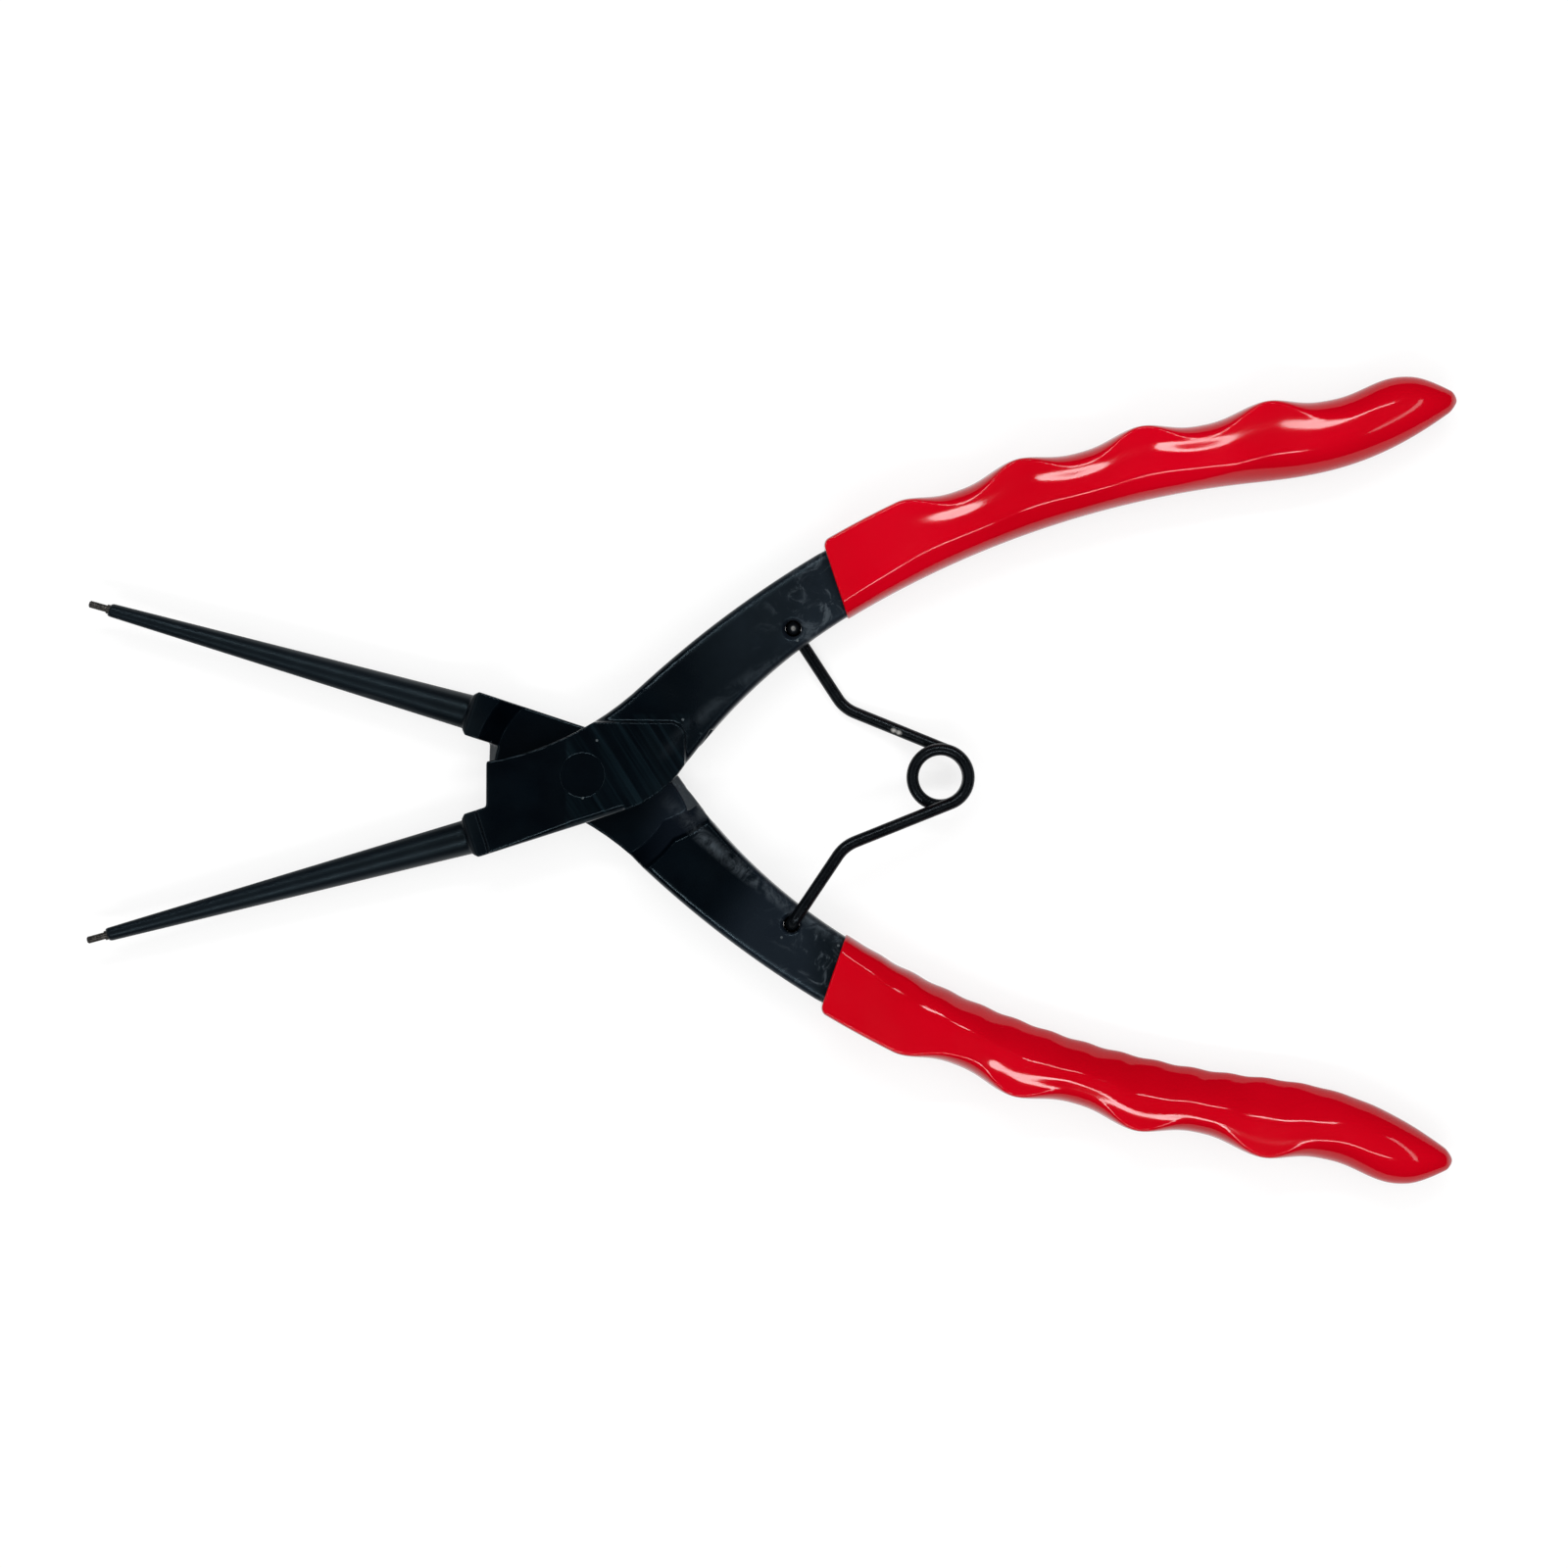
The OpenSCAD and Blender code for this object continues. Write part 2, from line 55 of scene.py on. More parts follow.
MM = 0.001
JOINTS = {joint["name"]: joint for joint in frame["joints"]}
LAP_Z = JOINTS["front_turn"]["pos_m"][2]
REST_OPEN = math.radians(-JOINTS["front_turn"]["range_deg"][0])
SPRING_HOLE = Vector(JOINTS["front_spring_turn"]["pos_m"])
SPRING_TRAVEL = math.radians(JOINTS["front_spring_turn"]["range_deg"][1])
SIDES = ("front", "rear")


def length(name, description, default_mm, **limits):
    """A length property whose default is given in millimetres."""
    return bpy.props.FloatProperty(
        name=name, description=description, default=default_mm * MM,
        subtype="DISTANCE", unit="LENGTH", precision=5, **limits,
    )


def share(name, description, default):
    """A property between nothing and one."""
    return bpy.props.FloatProperty(
        name=name, description=description, default=default, min=0.0, max=1.0, subtype="FACTOR",
    )


def colour(name, description, default):
    """A colour property in linear light."""
    return bpy.props.FloatVectorProperty(
        name=name, description=description, default=default, size=3, min=0.0, max=1.0, subtype="COLOR",
    )


class LeverLooks(bpy.types.PropertyGroup):
    """Finish of the two forged levers."""

    steel: colour("Steel", "Blacked steel where it lies smooth", (0.0002, 0.0008, 0.0018))
    steel_light: colour("Light steel", "Blacked steel where the coat is thin", (0.0006, 0.0019, 0.0036))
    steel_arm: colour("Arm steel", "Blacked steel of the arms", (0.0016, 0.0032, 0.0055))
    # Also painted light: the rear arm's pocket, which the front lever shades, is lightened towards this
    # colour
    steel_skin_and_pocket_light: colour("Scale skin", "Steel under the grey skin left by the forge", (0.007, 0.0105, 0.0165))
    # Also the painted highlight of the streak along the rear arm's inner edge
    steel_bare_and_sheen: colour("Bare steel", "Steel where the coat is rubbed through in spots", (0.055, 0.066, 0.077))
    steel_ground: colour("Ground steel", "Blacked steel along the grinding marks", (0.0028, 0.0075, 0.0105))
    worn: colour("Worn edge", "Steel that shows along rubbed edges", (0.03, 0.04, 0.047))
    grain: length("Surface grain", "Voxel size of the smoothed forging", 0.2)
    edge_rounds: bpy.props.IntProperty(
        name="Edge rounding", description="Passes that soften the forging's edges", default=10, min=0, max=30,
    )


class GripLooks(bpy.types.PropertyGroup):
    """Form and colour of the dipped grips."""

    vinyl: colour("Vinyl", "Red of the vinyl", (0.55, 0.0, 0.009))
    vinyl_deep: colour("Deep vinyl", "Red where the vinyl lies thick", (0.47, 0.0, 0.006))
    bow_radius: length("Bow radius", "Radius of the handle's bow, to the middle of its bar", 171.3)
    bow_x: length("Bow place", "Distance from the pivot to the top of the bow", 89.0)
    bow_y: length("Bow height", "Height of the bow above the closed centre line", 22.3)
    mouth_back: length("Mouth", "Distance along the bow from its top back to the grip's mouth", 39.2)
    grip_length: length("Length", "Length of the grip along the bow", 108.2)
    inner: length("Inner edge", "Distance from the middle of the bar to the inner edge", 6.2)
    outer: length("Outer edge", "Distance from the middle of the bar to the outer edge", 5.24)
    thickness: length("Thickness", "Thickness of the grip", 12.3)
    pitch: length("Groove pitch", "Pitch of the finger grooves", 20.8)
    first_crest: length("First crest", "Distance from the mouth to the first crest", 14.6)
    depth: length("Groove depth", "Depth of the finger grooves", 1.8)
    lip: length("Lip", "Radius on the lip of the mouth", 0.35)
    tang_width: length("Tang width", "Width of the room for the steel tang", 7.2)
    tang_thickness: length("Tang thickness", "Thickness of the room for the steel tang", 6.8)
    bar_width: length("Bar width", "Width of the room for the bar at the mouth", 11.7)
    tang_length: length("Tang length", "Depth of the room for the tang", 88.1)


class SpringLooks(bpy.types.PropertyGroup):
    """Form and colour of the return spring."""

    wire: colour("Wire", "Black of the spring wire", (0.0012, 0.0017, 0.0024))
    # Also the painted highlight on the front leg
    bare_and_sheen: colour("Bare wire", "Steel where the wire is rubbed", (0.45, 0.44, 0.42))
    wire_width: length("Wire", "Diameter of the wire", 2.05)
    hole_width: length("Hole", "Diameter of the holes that hold the pegs", 2.75)
    coil_width: length("Coil", "Mean diameter of the coil", 9.4)
    coil_x: length("Coil place", "Distance from the pivot to the coil's middle", 60.0)
    kink_x: length("Kink place", "Distance from the pivot to the kinks, along the pliers", 43.8)
    leg_level: length("Leg level", "Distance of a leg's middle from the lap plane", 5.12)
    peg_level: length("Peg level", "Distance of a peg's end from the lap plane", 3.75)
    turn_gap: length("Turn gap", "Room between two turns of the coil", 0.45)
    leg_slope: bpy.props.FloatProperty(
        name="Leg slope", description="Slope of the legs where they leave the coil",
        default=math.radians(22.0), subtype="ANGLE", unit="ROTATION",
    )


class TipLooks(bpy.types.PropertyGroup):
    """Finish of the tip pins."""

    tip: colour("Tip", "Grey of the hardened tips", (0.07, 0.066, 0.062))
    tip_dark: colour("Dark tip", "Tips where the grey is stained", (0.02, 0.019, 0.018))


class StageLooks(bpy.types.PropertyGroup):
    """Floor, light and camera."""

    floor: colour("Floor", "Colour of the floor", (0.95, 0.95, 0.95))
    floor_bounce: colour("Floor's bounce", "Colour of the light that the floor throws back", (0.5, 0.5, 0.5))
    floor_lift: share("Floor lift", "Share of the floor's own white, which keeps its shadow faint", 0.75)
    sky: bpy.props.FloatProperty(
        name="Sky", description="Strength of the soft light from overhead", default=0.68, min=0.0, max=2.0,
    )
    sky_mirrored: bpy.props.FloatProperty(
        name="Mirrored sky", description="Strength of the even light where the pliers mirror it",
        default=0.018, min=0.0, max=2.0,
    )
    frame_width: length("Frame width", "Width of the picture at the lap plane", 264.0)
    camera_height: length("Camera height", "Height of the camera above the lap plane", 700.0)
    centre_x: length("Centre", "Middle of the picture along the pliers", 33.67)
    centre_y: length("Centre across", "Middle of the picture across the pliers", -1.28)
    roll: bpy.props.FloatProperty(
        name="Roll", description="Turn of the camera about its view",
        default=math.radians(0.35), subtype="ANGLE", unit="ROTATION",
    )


# Shader building


class Shader:
    """Places nodes in a tree and links them."""

    def __init__(self, tree):
        self.tree = tree

    def node(self, kind, inputs=None, **settings):
        made = self.tree.nodes.new(kind)
        for key, value in settings.items():
            setattr(made, key, value)
        for key, value in (inputs or {}).items():
            if isinstance(value, bpy.types.NodeSocket):
                self.tree.links.new(value, made.inputs[key])
            else:
                made.inputs[key].default_value = value
        return made

    def math(self, operation, a, b=0.0, clamp=False):
        made = self.node("ShaderNodeMath", operation=operation, use_clamp=clamp)
        for socket, value in zip(made.inputs, (a, b)):
            if isinstance(value, bpy.types.NodeSocket):
                self.tree.links.new(value, socket)
            else:
                socket.default_value = value
        return made.outputs["Value"]

    def ramp(self, value, low, high, to_low=0.0, to_high=1.0):
        made = self.node(
            "ShaderNodeMapRange",
            {"Value": value, "From Min": low, "From Max": high, "To Min": to_low, "To Max": to_high},
            interpolation_type="SMOOTHSTEP",
        )
        return made.outputs["Result"]

    def mix(self, amount, a, b):
        made = self.node("ShaderNodeMix", data_type="RGBA")
        for index, value in ((0, amount), (6, a), (7, b)):
            if isinstance(value, bpy.types.NodeSocket):
                self.tree.links.new(value, made.inputs[index])
            else:
                made.inputs[index].default_value = value if index == 0 else (*value, 1.0)
        return made.outputs[2]

    def noise(self, place, scale, detail=2.0, rough=0.5, distortion=0.0):
        made = self.node(
            "ShaderNodeTexNoise",
            {"Vector": place, "Scale": scale, "Detail": detail, "Roughness": rough, "Distortion": distortion},
        )
        return made.outputs["Fac"]


def group(name, inputs, outputs):
    """A new node group with value or vector sockets, and the shader that fills it."""
    tree = bpy.data.node_groups.new(name, "ShaderNodeTree")
    for label, kind, default in inputs:
        socket = tree.interface.new_socket(label, in_out="INPUT", socket_type=kind)
        socket.default_value = default
    for label, kind in outputs:
        tree.interface.new_socket(label, in_out="OUTPUT", socket_type=kind)
    shader = Shader(tree)
    return shader, shader.node("NodeGroupInput").outputs, shader.node("NodeGroupOutput").inputs


VALUE, VECTOR = "NodeSocketFloat", "NodeSocketVector"
PLACE = ("Place", VECTOR, (0, 0, 0))
CENTRE = ("Centre", VECTOR, (0, 0, 0))


def edge_wear_group():
    """Mask of rubbed edges, broken up by noise."""
    shader, taken, given = group(
        "Edge wear",
        [PLACE, ("Start", VALUE, 0.52), ("Width", VALUE, 0.06), ("Patch scale", VALUE, 300.0)],
        [("Mask", VALUE)],
    )
    sharp = shader.node("ShaderNodeNewGeometry").outputs["Pointiness"]
    over = shader.math("DIVIDE", shader.math("SUBTRACT", sharp, taken["Start"]), taken["Width"], clamp=True)
    patches = shader.ramp(shader.noise(taken["Place"], taken["Patch scale"], 3.0), 0.4, 0.62)
    shader.tree.links.new(shader.math("MULTIPLY", over, patches), given["Mask"])
    return shader.tree


def dust_group():
    """Mask of small specks scattered over a surface."""
    shader, taken, given = group(
        "Dust specks",
        [PLACE, ("Scale", VALUE, 450.0), ("Speck size", VALUE, 0.16), ("Amount", VALUE, 0.12)],
        [("Mask", VALUE)],
    )
    cells = shader.node("ShaderNodeTexVoronoi", {"Vector": taken["Place"], "Scale": taken["Scale"]})
    near = shader.math("LESS_THAN", cells.outputs["Distance"], taken["Speck size"])
    chosen = shader.node("ShaderNodeSeparateColor", {"Color": cells.outputs["Color"]}).outputs["Red"]
    kept = shader.math("LESS_THAN", chosen, taken["Amount"])
    shader.tree.links.new(shader.math("MULTIPLY", near, kept), given["Mask"])
    return shader.tree


def grinding_group():
    """Fine parallel scratches at an angle, and the mask of the rectangle that they fill."""
    shader, taken, given = group(
        "Grinding marks",
        [
            PLACE, CENTRE, ("Half size", VECTOR, (0.01, 0.01, 0.01)),
            ("Angle", VECTOR, (0, 0, 0)), ("Scale", VALUE, 900.0),
        ],
        [("Scratches", VALUE), ("Mask", VALUE)],
    )
    moved = shader.node("ShaderNodeVectorMath", operation="SUBTRACT")
    shader.tree.links.new(taken["Place"], moved.inputs[0])
    shader.tree.links.new(taken["Centre"], moved.inputs[1])
    away = shader.node("ShaderNodeVectorMath", operation="ABSOLUTE")
    shader.tree.links.new(moved.outputs["Vector"], away.inputs[0])
    inside = shader.node("ShaderNodeVectorMath", operation="SUBTRACT")
    shader.tree.links.new(taken["Half size"], inside.inputs[0])
    shader.tree.links.new(away.outputs["Vector"], inside.inputs[1])
    room = shader.node("ShaderNodeSeparateXYZ", {"Vector": inside.outputs["Vector"]}).outputs
    least = shader.math("MINIMUM", shader.math("MINIMUM", room["X"], room["Y"]), room["Z"])
    soft_edge, stretch = 0.6 * MM, (0.03, 1.0, 1.0)
    shader.tree.links.new(shader.ramp(least, 0.0, soft_edge), given["Mask"])
    turned = shader.node(
        "ShaderNodeVectorRotate", {"Vector": moved.outputs["Vector"], "Rotation": taken["Angle"]},
        rotation_type="EULER_XYZ",
    )
    stretched = shader.node("ShaderNodeVectorMath", operation="MULTIPLY")
    shader.tree.links.new(turned.outputs["Vector"], stretched.inputs[0])
    stretched.inputs[1].default_value = stretch
    scratches = shader.noise(stretched.outputs["Vector"], taken["Scale"], 3.0, 0.7)
    shader.tree.links.new(scratches, given["Scratches"])
    return shader.tree


def bow_band_group():
    """Mask of a band at one radius round the bow's middle, between two distances from the pivot."""
    shader, taken, given = group(
        "Band along the bow",
        [
            PLACE, CENTRE, ("Radius", VALUE, 0.17),
            ("Half width", VALUE, 0.001), ("Start", VALUE, 0.0), ("End", VALUE, 0.1),
        ],
        [("Mask", VALUE)],
    )
    moved = shader.node("ShaderNodeVectorMath", operation="SUBTRACT")
    shader.tree.links.new(taken["Place"], moved.inputs[0])
    shader.tree.links.new(taken["Centre"], moved.inputs[1])
    level = shader.node("ShaderNodeVectorMath", operation="MULTIPLY")
    shader.tree.links.new(moved.outputs["Vector"], level.inputs[0])
    level.inputs[1].default_value = (1.0, 1.0, 0.0)
    far = shader.node("ShaderNodeVectorMath", operation="LENGTH")
    shader.tree.links.new(level.outputs["Vector"], far.inputs[0])
    off = shader.math("ABSOLUTE", shader.math("SUBTRACT", far.outputs["Value"], taken["Radius"]))
    across = shader.math("SUBTRACT", 1.0, shader.math("DIVIDE", off, taken["Half width"]), clamp=True)
    reach = shader.node("ShaderNodeSeparateXYZ", {"Vector": taken["Place"]}).outputs["X"]
    quarter = shader.math("MULTIPLY", shader.math("SUBTRACT", taken["End"], taken["Start"]), 0.25)
    rise = shader.math("DIVIDE", shader.math("SUBTRACT", reach, taken["Start"]), quarter, clamp=True)
    fall = shader.math("DIVIDE", shader.math("SUBTRACT", taken["End"], reach), quarter, clamp=True)
    shader.tree.links.new(shader.math("MULTIPLY", across, shader.math("MULTIPLY", rise, fall)), given["Mask"])
    return shader.tree


def round_spot_group():
    """Mask of a round spot, soft towards its edge, which the levers and the spring share."""
    name = "Round spot"
    if name in bpy.data.node_groups:
        return bpy.data.node_groups[name]
    shader, taken, given = group(name, [PLACE, CENTRE, ("Radius", VALUE, 0.001)], [("Mask", VALUE)])
    away = shader.node("ShaderNodeVectorMath", operation="DISTANCE")
    shader.tree.links.new(taken["Place"], away.inputs[0])
    shader.tree.links.new(taken["Centre"], away.inputs[1])
    far = shader.math("DIVIDE", away.outputs["Value"], taken["Radius"])
    near = shader.math("SUBTRACT", 1.0, far, clamp=True)
    shader.tree.links.new(shader.ramp(near, 0.0, 0.5), given["Mask"])
    return shader.tree


def new_material(name):
    material = bpy.data.materials.new(name)
    material.use_nodes = True
    shader = Shader(material.node_tree)
    surface = material.node_tree.nodes["Principled BSDF"]
    place = shader.node("ShaderNodeTexCoord").outputs["Object"]
    return material, shader, surface, place


def connect(shader, surface, **sockets):
    """Links outputs to the surface's sockets, by their names with underscores for spaces."""
    for name, output in sockets.items():
        shader.tree.links.new(output, surface.inputs[name.replace("_", " ")])


def placed(shader, tree, **values):
    """A group node in a material with its own values."""
    made = shader.node("ShaderNodeGroup", node_tree=tree)
    for name, value in values.items():
        socket = made.inputs[name.replace("_", " ")]
        if isinstance(value, bpy.types.NodeSocket):
            shader.tree.links.new(value, socket)
        else:
            socket.default_value = value
    return made.outputs


def bump(shader, height, strength, distance):
    return shader.node(
        "ShaderNodeBump", {"Height": height, "Strength": strength, "Distance": distance}
    ).outputs["Normal"]


def give(target, material):
    target.data.materials.clear()
    target.data.materials.append(material)


# Mesh building


def side_matrix(side):
    """Places a piece, drawn on the closed front lever about the lap plane, on one lever at rest."""
    lift = Matrix.Translation((0, 0, LAP_Z))
    if side == "front":
        return lift @ Matrix.Rotation(REST_OPEN, 4, "Z")
    return lift @ Matrix.Rotation(-REST_OPEN, 4, "Z") @ Matrix.Rotation(math.pi, 4, "X")


def eased(t):
    t = min(1.0, max(0.0, t))
    return t * t * (3 - 2 * t)


def mixed(a, b, t):
    return a + (b - a) * t


def steps(count):
    """Even shares from nothing to one."""
    return [i / count for i in range(count + 1)]


def climbed(t):
    """A straight climb from nothing to one that bends softly where it ends."""
    soft = 0.22
    if t < 1 - soft:
        return t
    return t - (t - 1 + soft) ** 2 / (4 * soft) if t < 1 + soft else 1.0


def loft_object(name, rings, matrix):
    """A closed mesh through rings of points, with a cap at each end."""
    mesh = bpy.data.meshes.new(name)
    shape = bmesh.new()
    rows = [[shape.verts.new(matrix @ Vector(point)) for point in ring] for ring in rings]
    count = len(rings[0])
    for row, following in zip(rows, rows[1:]):
        for i in range(count):
            k = (i + 1) % count
            shape.faces.new((row[i], row[k], following[k], following[i]))
    for row, ring in ((rows[0], rings[0]), (rows[-1], rings[-1])):
        middle = shape.verts.new(matrix @ (sum((Vector(p) for p in ring), Vector()) / count))
        for i in range(count):
            shape.faces.new((row[i], middle, row[(i + 1) % count]))
    bmesh.ops.recalc_face_normals(shape, faces=shape.faces)
    for face in shape.faces:
        face.smooth = True
    shape.to_mesh(mesh)
    shape.free()
    made = bpy.data.objects.new(name, mesh)
    bpy.context.scene.collection.objects.link(made)
    return made


def rounded_rise(s, reach):
    """Height of a quarter round that starts upright at nothing and is flat after its reach."""
    left = 1 - min(1.0, max(0.0, s) / reach)
    return math.sqrt(max(0.0, 1 - left * left))


class GripForm:
    """Edges and sections of a grip, by distance from its mouth, in the closed front lever's frame."""

    HEEL_BACK, HEEL_LEN, HEEL_RISE = 50.4 * MM, 44.2 * MM, 5.6 * MM
    SWELL, SWELL_LEN = 2.4 * MM, 48 * MM
    NOSE_LEN, NOSE_OUT, NOSE_POWER = 35.6 * MM, 6.3 * MM, 2.7
    NOSE_ROUND, NOSE_DROP, NOSE_HALF = 7.5 * MM, 3 * MM, 0.5 * MM
    NOSE_CAP = 1.1 * MM
    MOUTH_EASE, MOUTH_LEAN, MOUTH_THIN = 25 * MM, 0.22, 1.0 * MM
    CREST_POWER = 1.3
    RIPPLE_PITCH = 6.4 * MM
    CORNER = 1.1 * MM
    ROOM_CORNER = 1.4 * MM
    TAPER = 14 * MM
    AROUND, ALONG, CROWDING = 72, 230, 1.2

    # By distance from the mouth: where the section stops being a box, and where the ripple is full
    FLAT_BOX_END, FLAT_BOX_FADE = 6 * MM, 20 * MM
    ROUND_BOX_END, ROUND_BOX_FADE = 8 * MM, 24 * MM
    RIPPLE_FULL = 9 * MM

    # By share of the length: where the nose rounds the section off, and where the flat face's crease ends
    NOSE_FROM, NOSE_OVER = 0.74, 0.2
    CREASE_END, CREASE_FADE = 0.55, 0.27

    # By share of the width: how far each edge is rounded
    BOX_INNER, CREASED_INNER, FULL_ROUND = 0.09, 0.14, 0.5
    SHARP_OUTER, GROOVE_OUTER = 0.04, 0.22

    # Crease of a face: its place across the width, which moves along the grip, and the inner edge's height
    MOUTH_CREASE, FLAT_CREASE, ROUND_CREASE, LATE_SHIFT = 0.22, 0.33, 0.48, 0.16
    FLAT_CREASE_AT, ROUND_CREASE_AT, LATE_FROM, LATE_OVER = 26 * MM, 28 * MM, 30 * MM, 40 * MM
    CREASE_LOW, ROUND_FALL = 0.62, 0.8

    # Finger hollows in a face
    FLAT_SCOOP = {"start": 0.45, "depth": 0.132, "on_crest": 0.86, "begin": 8 * MM}
    ROUND_SCOOP = {"start": 0.49, "depth": 0.145, "on_crest": 1.0, "begin": 24 * MM}
    SCOOP_EASE, SCOOP_ACROSS = 8 * MM, 0.42
    SCOOP_SINK, SCOOP_CLIMB = 0.15, 0.35
    SCOOP_END, SCOOP_FADE = 0.84, 0.12
    MOUTH_DEEPER, MOUTH_DEEP_END, MOUTH_DEEP_FADE = 0.09, 0.22, 0.15
    NOSE_DEEPER, NOSE_DEEP_FROM, NOSE_DEEP_OVER = 0.06, 0.5, 0.2

    def __init__(self, looks, ripple):
        self.looks = looks
        self.ripple = ripple
        self.centre = Vector((looks.bow_x, looks.bow_y - looks.bow_radius))
        self.mouth = -looks.mouth_back / looks.bow_radius

    def point(self, u, r, z):
        """A place by distance along the grip, distance from the bow's middle, and height."""
        fade = max(0.0, min(1.0, 1 - u / self.MOUTH_EASE))
        along = u + self.MOUTH_LEAN * (r - self.looks.bow_radius) * fade
        angle = self.mouth + along / self.looks.bow_radius
        return (self.centre.x + r * math.sin(angle), self.centre.y + r * math.cos(angle), z)

    def crest(self, u):
        """One on a crest between two finger grooves, and nothing at a groove's bottom."""
        looks = self.looks
        turn = 2 * math.pi * (max(u, looks.first_crest) - looks.first_crest) / looks.pitch
        return (0.5 + 0.5 * math.cos(turn)) ** self.CREST_POWER

    def outer(self, u):
        looks = self.looks
        swell = max(0.0, 1 - max(u, looks.first_crest) / self.SWELL_LEN)
        heel = max(0.0, u - looks.grip_length + self.HEEL_BACK) / self.HEEL_LEN
        drop = max(0.0, u - looks.grip_length + self.NOSE_ROUND) / self.NOSE_ROUND
        return (
            looks.bow_radius + looks.outer + looks.depth * (self.crest(u) - 0.5)
            + self.SWELL * swell ** 2 + self.HEEL_RISE * heel ** 2 - self.NOSE_DROP * drop ** 2
        )

    def inner(self, u):
        looks = self.looks
        start = looks.bow_radius - looks.inner
        turn = max(0.0, u - looks.grip_length + self.NOSE_LEN) / self.NOSE_LEN
        wave = 0.5 - 0.5 * math.cos(2 * math.pi * u / self.RIPPLE_PITCH)
        start += self.ripple * wave * eased(u / self.RIPPLE_FULL) * max(0.0, 1 - turn)
        return start + (looks.bow_radius + self.NOSE_OUT - start) * turn ** self.NOSE_POWER

    def half_thickness(self, u):
        looks = self.looks
        near = max(0.0, 1 - u / self.MOUTH_EASE)
        nose = max(0.0, u - looks.grip_length + self.NOSE_LEN) / self.NOSE_LEN
        full = looks.thickness / 2 - self.MOUTH_THIN * near * near
        return max(self.NOSE_HALF, full * math.sqrt(max(0.0, 1 - nose ** 3)))

    def face(self, u, s, slope, inner_round, boxy, scoop):
        """Height share of a face from its slope, its two rounded edges and its finger hollows."""
        nose = eased((u / self.looks.grip_length - self.NOSE_FROM) / self.NOSE_OVER)
        grooved = mixed(self.GROOVE_OUTER, self.SHARP_OUTER, self.crest(u))
        outer_round = mixed(mixed(grooved, self.SHARP_OUTER, boxy), self.FULL_ROUND, nose)
        edges = rounded_rise(s, inner_round) * rounded_rise(1 - s, outer_round)
        return slope * edges * (1 - self.hollow(u, s, **scoop))

    def flat_face(self, u, s):
        """Height share of the creased face, from its inner edge at nothing to its outer edge at one."""
        boxy = 1 - eased((u - self.FLAT_BOX_END) / self.FLAT_BOX_FADE)
        crease = 1 - eased((u / self.looks.grip_length - self.CREASE_END) / self.CREASE_FADE)
        crease_s = mixed(self.MOUTH_CREASE, self.FLAT_CREASE, eased(u / self.FLAT_CREASE_AT))
        slope = mixed(mixed(1.0, self.CREASE_LOW, crease), 1.0, climbed(s / crease_s))
        inner_round = mixed(self.FULL_ROUND, mixed(self.CREASED_INNER, self.BOX_INNER, boxy), crease)
        return self.face(u, s, slope, inner_round, boxy, self.FLAT_SCOOP)

    def round_face(self, u, s):
        """Height share of the rounded face, which is flat by the mouth only."""
        boxy = 1 - eased((u - self.ROUND_BOX_END) / self.ROUND_BOX_FADE)
        nose = eased((u / self.looks.grip_length - self.NOSE_FROM) / self.NOSE_OVER)
        crease_s = mixed(self.MOUTH_CREASE, self.ROUND_CREASE, eased(u / self.ROUND_CREASE_AT))
        crease_s += self.LATE_SHIFT * eased((u - self.LATE_FROM) / self.LATE_OVER)
        low = mixed(mixed(1 - self.ROUND_FALL * crease_s, self.CREASE_LOW, boxy), 1.0, nose)
        slope = mixed(low, 1.0, climbed(s / crease_s))
        inner_round = mixed(self.FULL_ROUND, self.BOX_INNER, boxy)
        return self.face(u, s, slope, inner_round, boxy, self.ROUND_SCOOP)

    def hollow(self, u, s, start, depth, on_crest, begin):
        """Share by which the finger grooves hollow the face towards its outer edge."""
        looks = self.looks
        along = u / looks.grip_length
        place = max(0.0, u - looks.first_crest) / looks.pitch % 1.0
        climb = eased((place - self.SCOOP_CLIMB) / (1 - self.SCOOP_CLIMB))
        deep = mixed(on_crest, 1.0, eased(place / self.SCOOP_SINK) * (1 - climb))
        by_mouth = 1 - eased((along - self.MOUTH_DEEP_END) / self.MOUTH_DEEP_FADE)
        by_nose = eased((along - self.NOSE_DEEP_FROM) / self.NOSE_DEEP_OVER)
        reach = eased((u - begin) / self.SCOOP_EASE)
        reach *= 1 + self.MOUTH_DEEPER * by_mouth + self.NOSE_DEEPER * by_nose
        fade = 1 - eased((along - self.SCOOP_END) / self.SCOOP_FADE)
        return depth * deep * reach * fade * eased((s - start) / self.SCOOP_ACROSS)

    def shares(self):
        """Places across a face, close together by its edges."""
        return [0.5 - 0.5 * math.cos(math.pi * t) for t in steps(self.AROUND // 2)]

    def ring(self, u, low, high, half, upper, lower):
        places = self.shares()
        front = [self.point(u, mixed(low, high, s), half * upper(s)) for s in places]
        back = [self.point(u, mixed(low, high, s), -half * lower(s)) for s in places]
        return front + back[-2:0:-1]

    def outer_ring(self, u):
        looks = self.looks
        lip = max(0.0, 1 - u / looks.lip)
        cap = max(0.0, 1 - (looks.grip_length - u) / self.NOSE_CAP)
        cut = looks.lip * (1 - math.sqrt(1 - lip ** 2))
        corner = max(0.0, 1 - u / self.CORNER)
        low, high = self.inner(u) + cut, self.outer(u) - self.CORNER * (1 - math.sqrt(1 - corner ** 2))
        shrink = math.sqrt(max(0.0004, 1 - cap ** 2))
        middle, reach = (low + high) / 2, (high - low) / 2 * shrink
        return self.ring(
            u, middle - reach, middle + reach, (self.half_thickness(u) - cut) * shrink,
            lambda s: self.flat_face(u, s), lambda s: self.round_face(u, s),
        )

    def room_ring(self, u):
        looks = self.looks
        width = mixed(looks.bar_width, looks.tang_width, eased(u / self.TAPER))
        edge = self.ROOM_CORNER / width

        def box(s):
            return rounded_rise(s, edge) * rounded_rise(1 - s, edge)

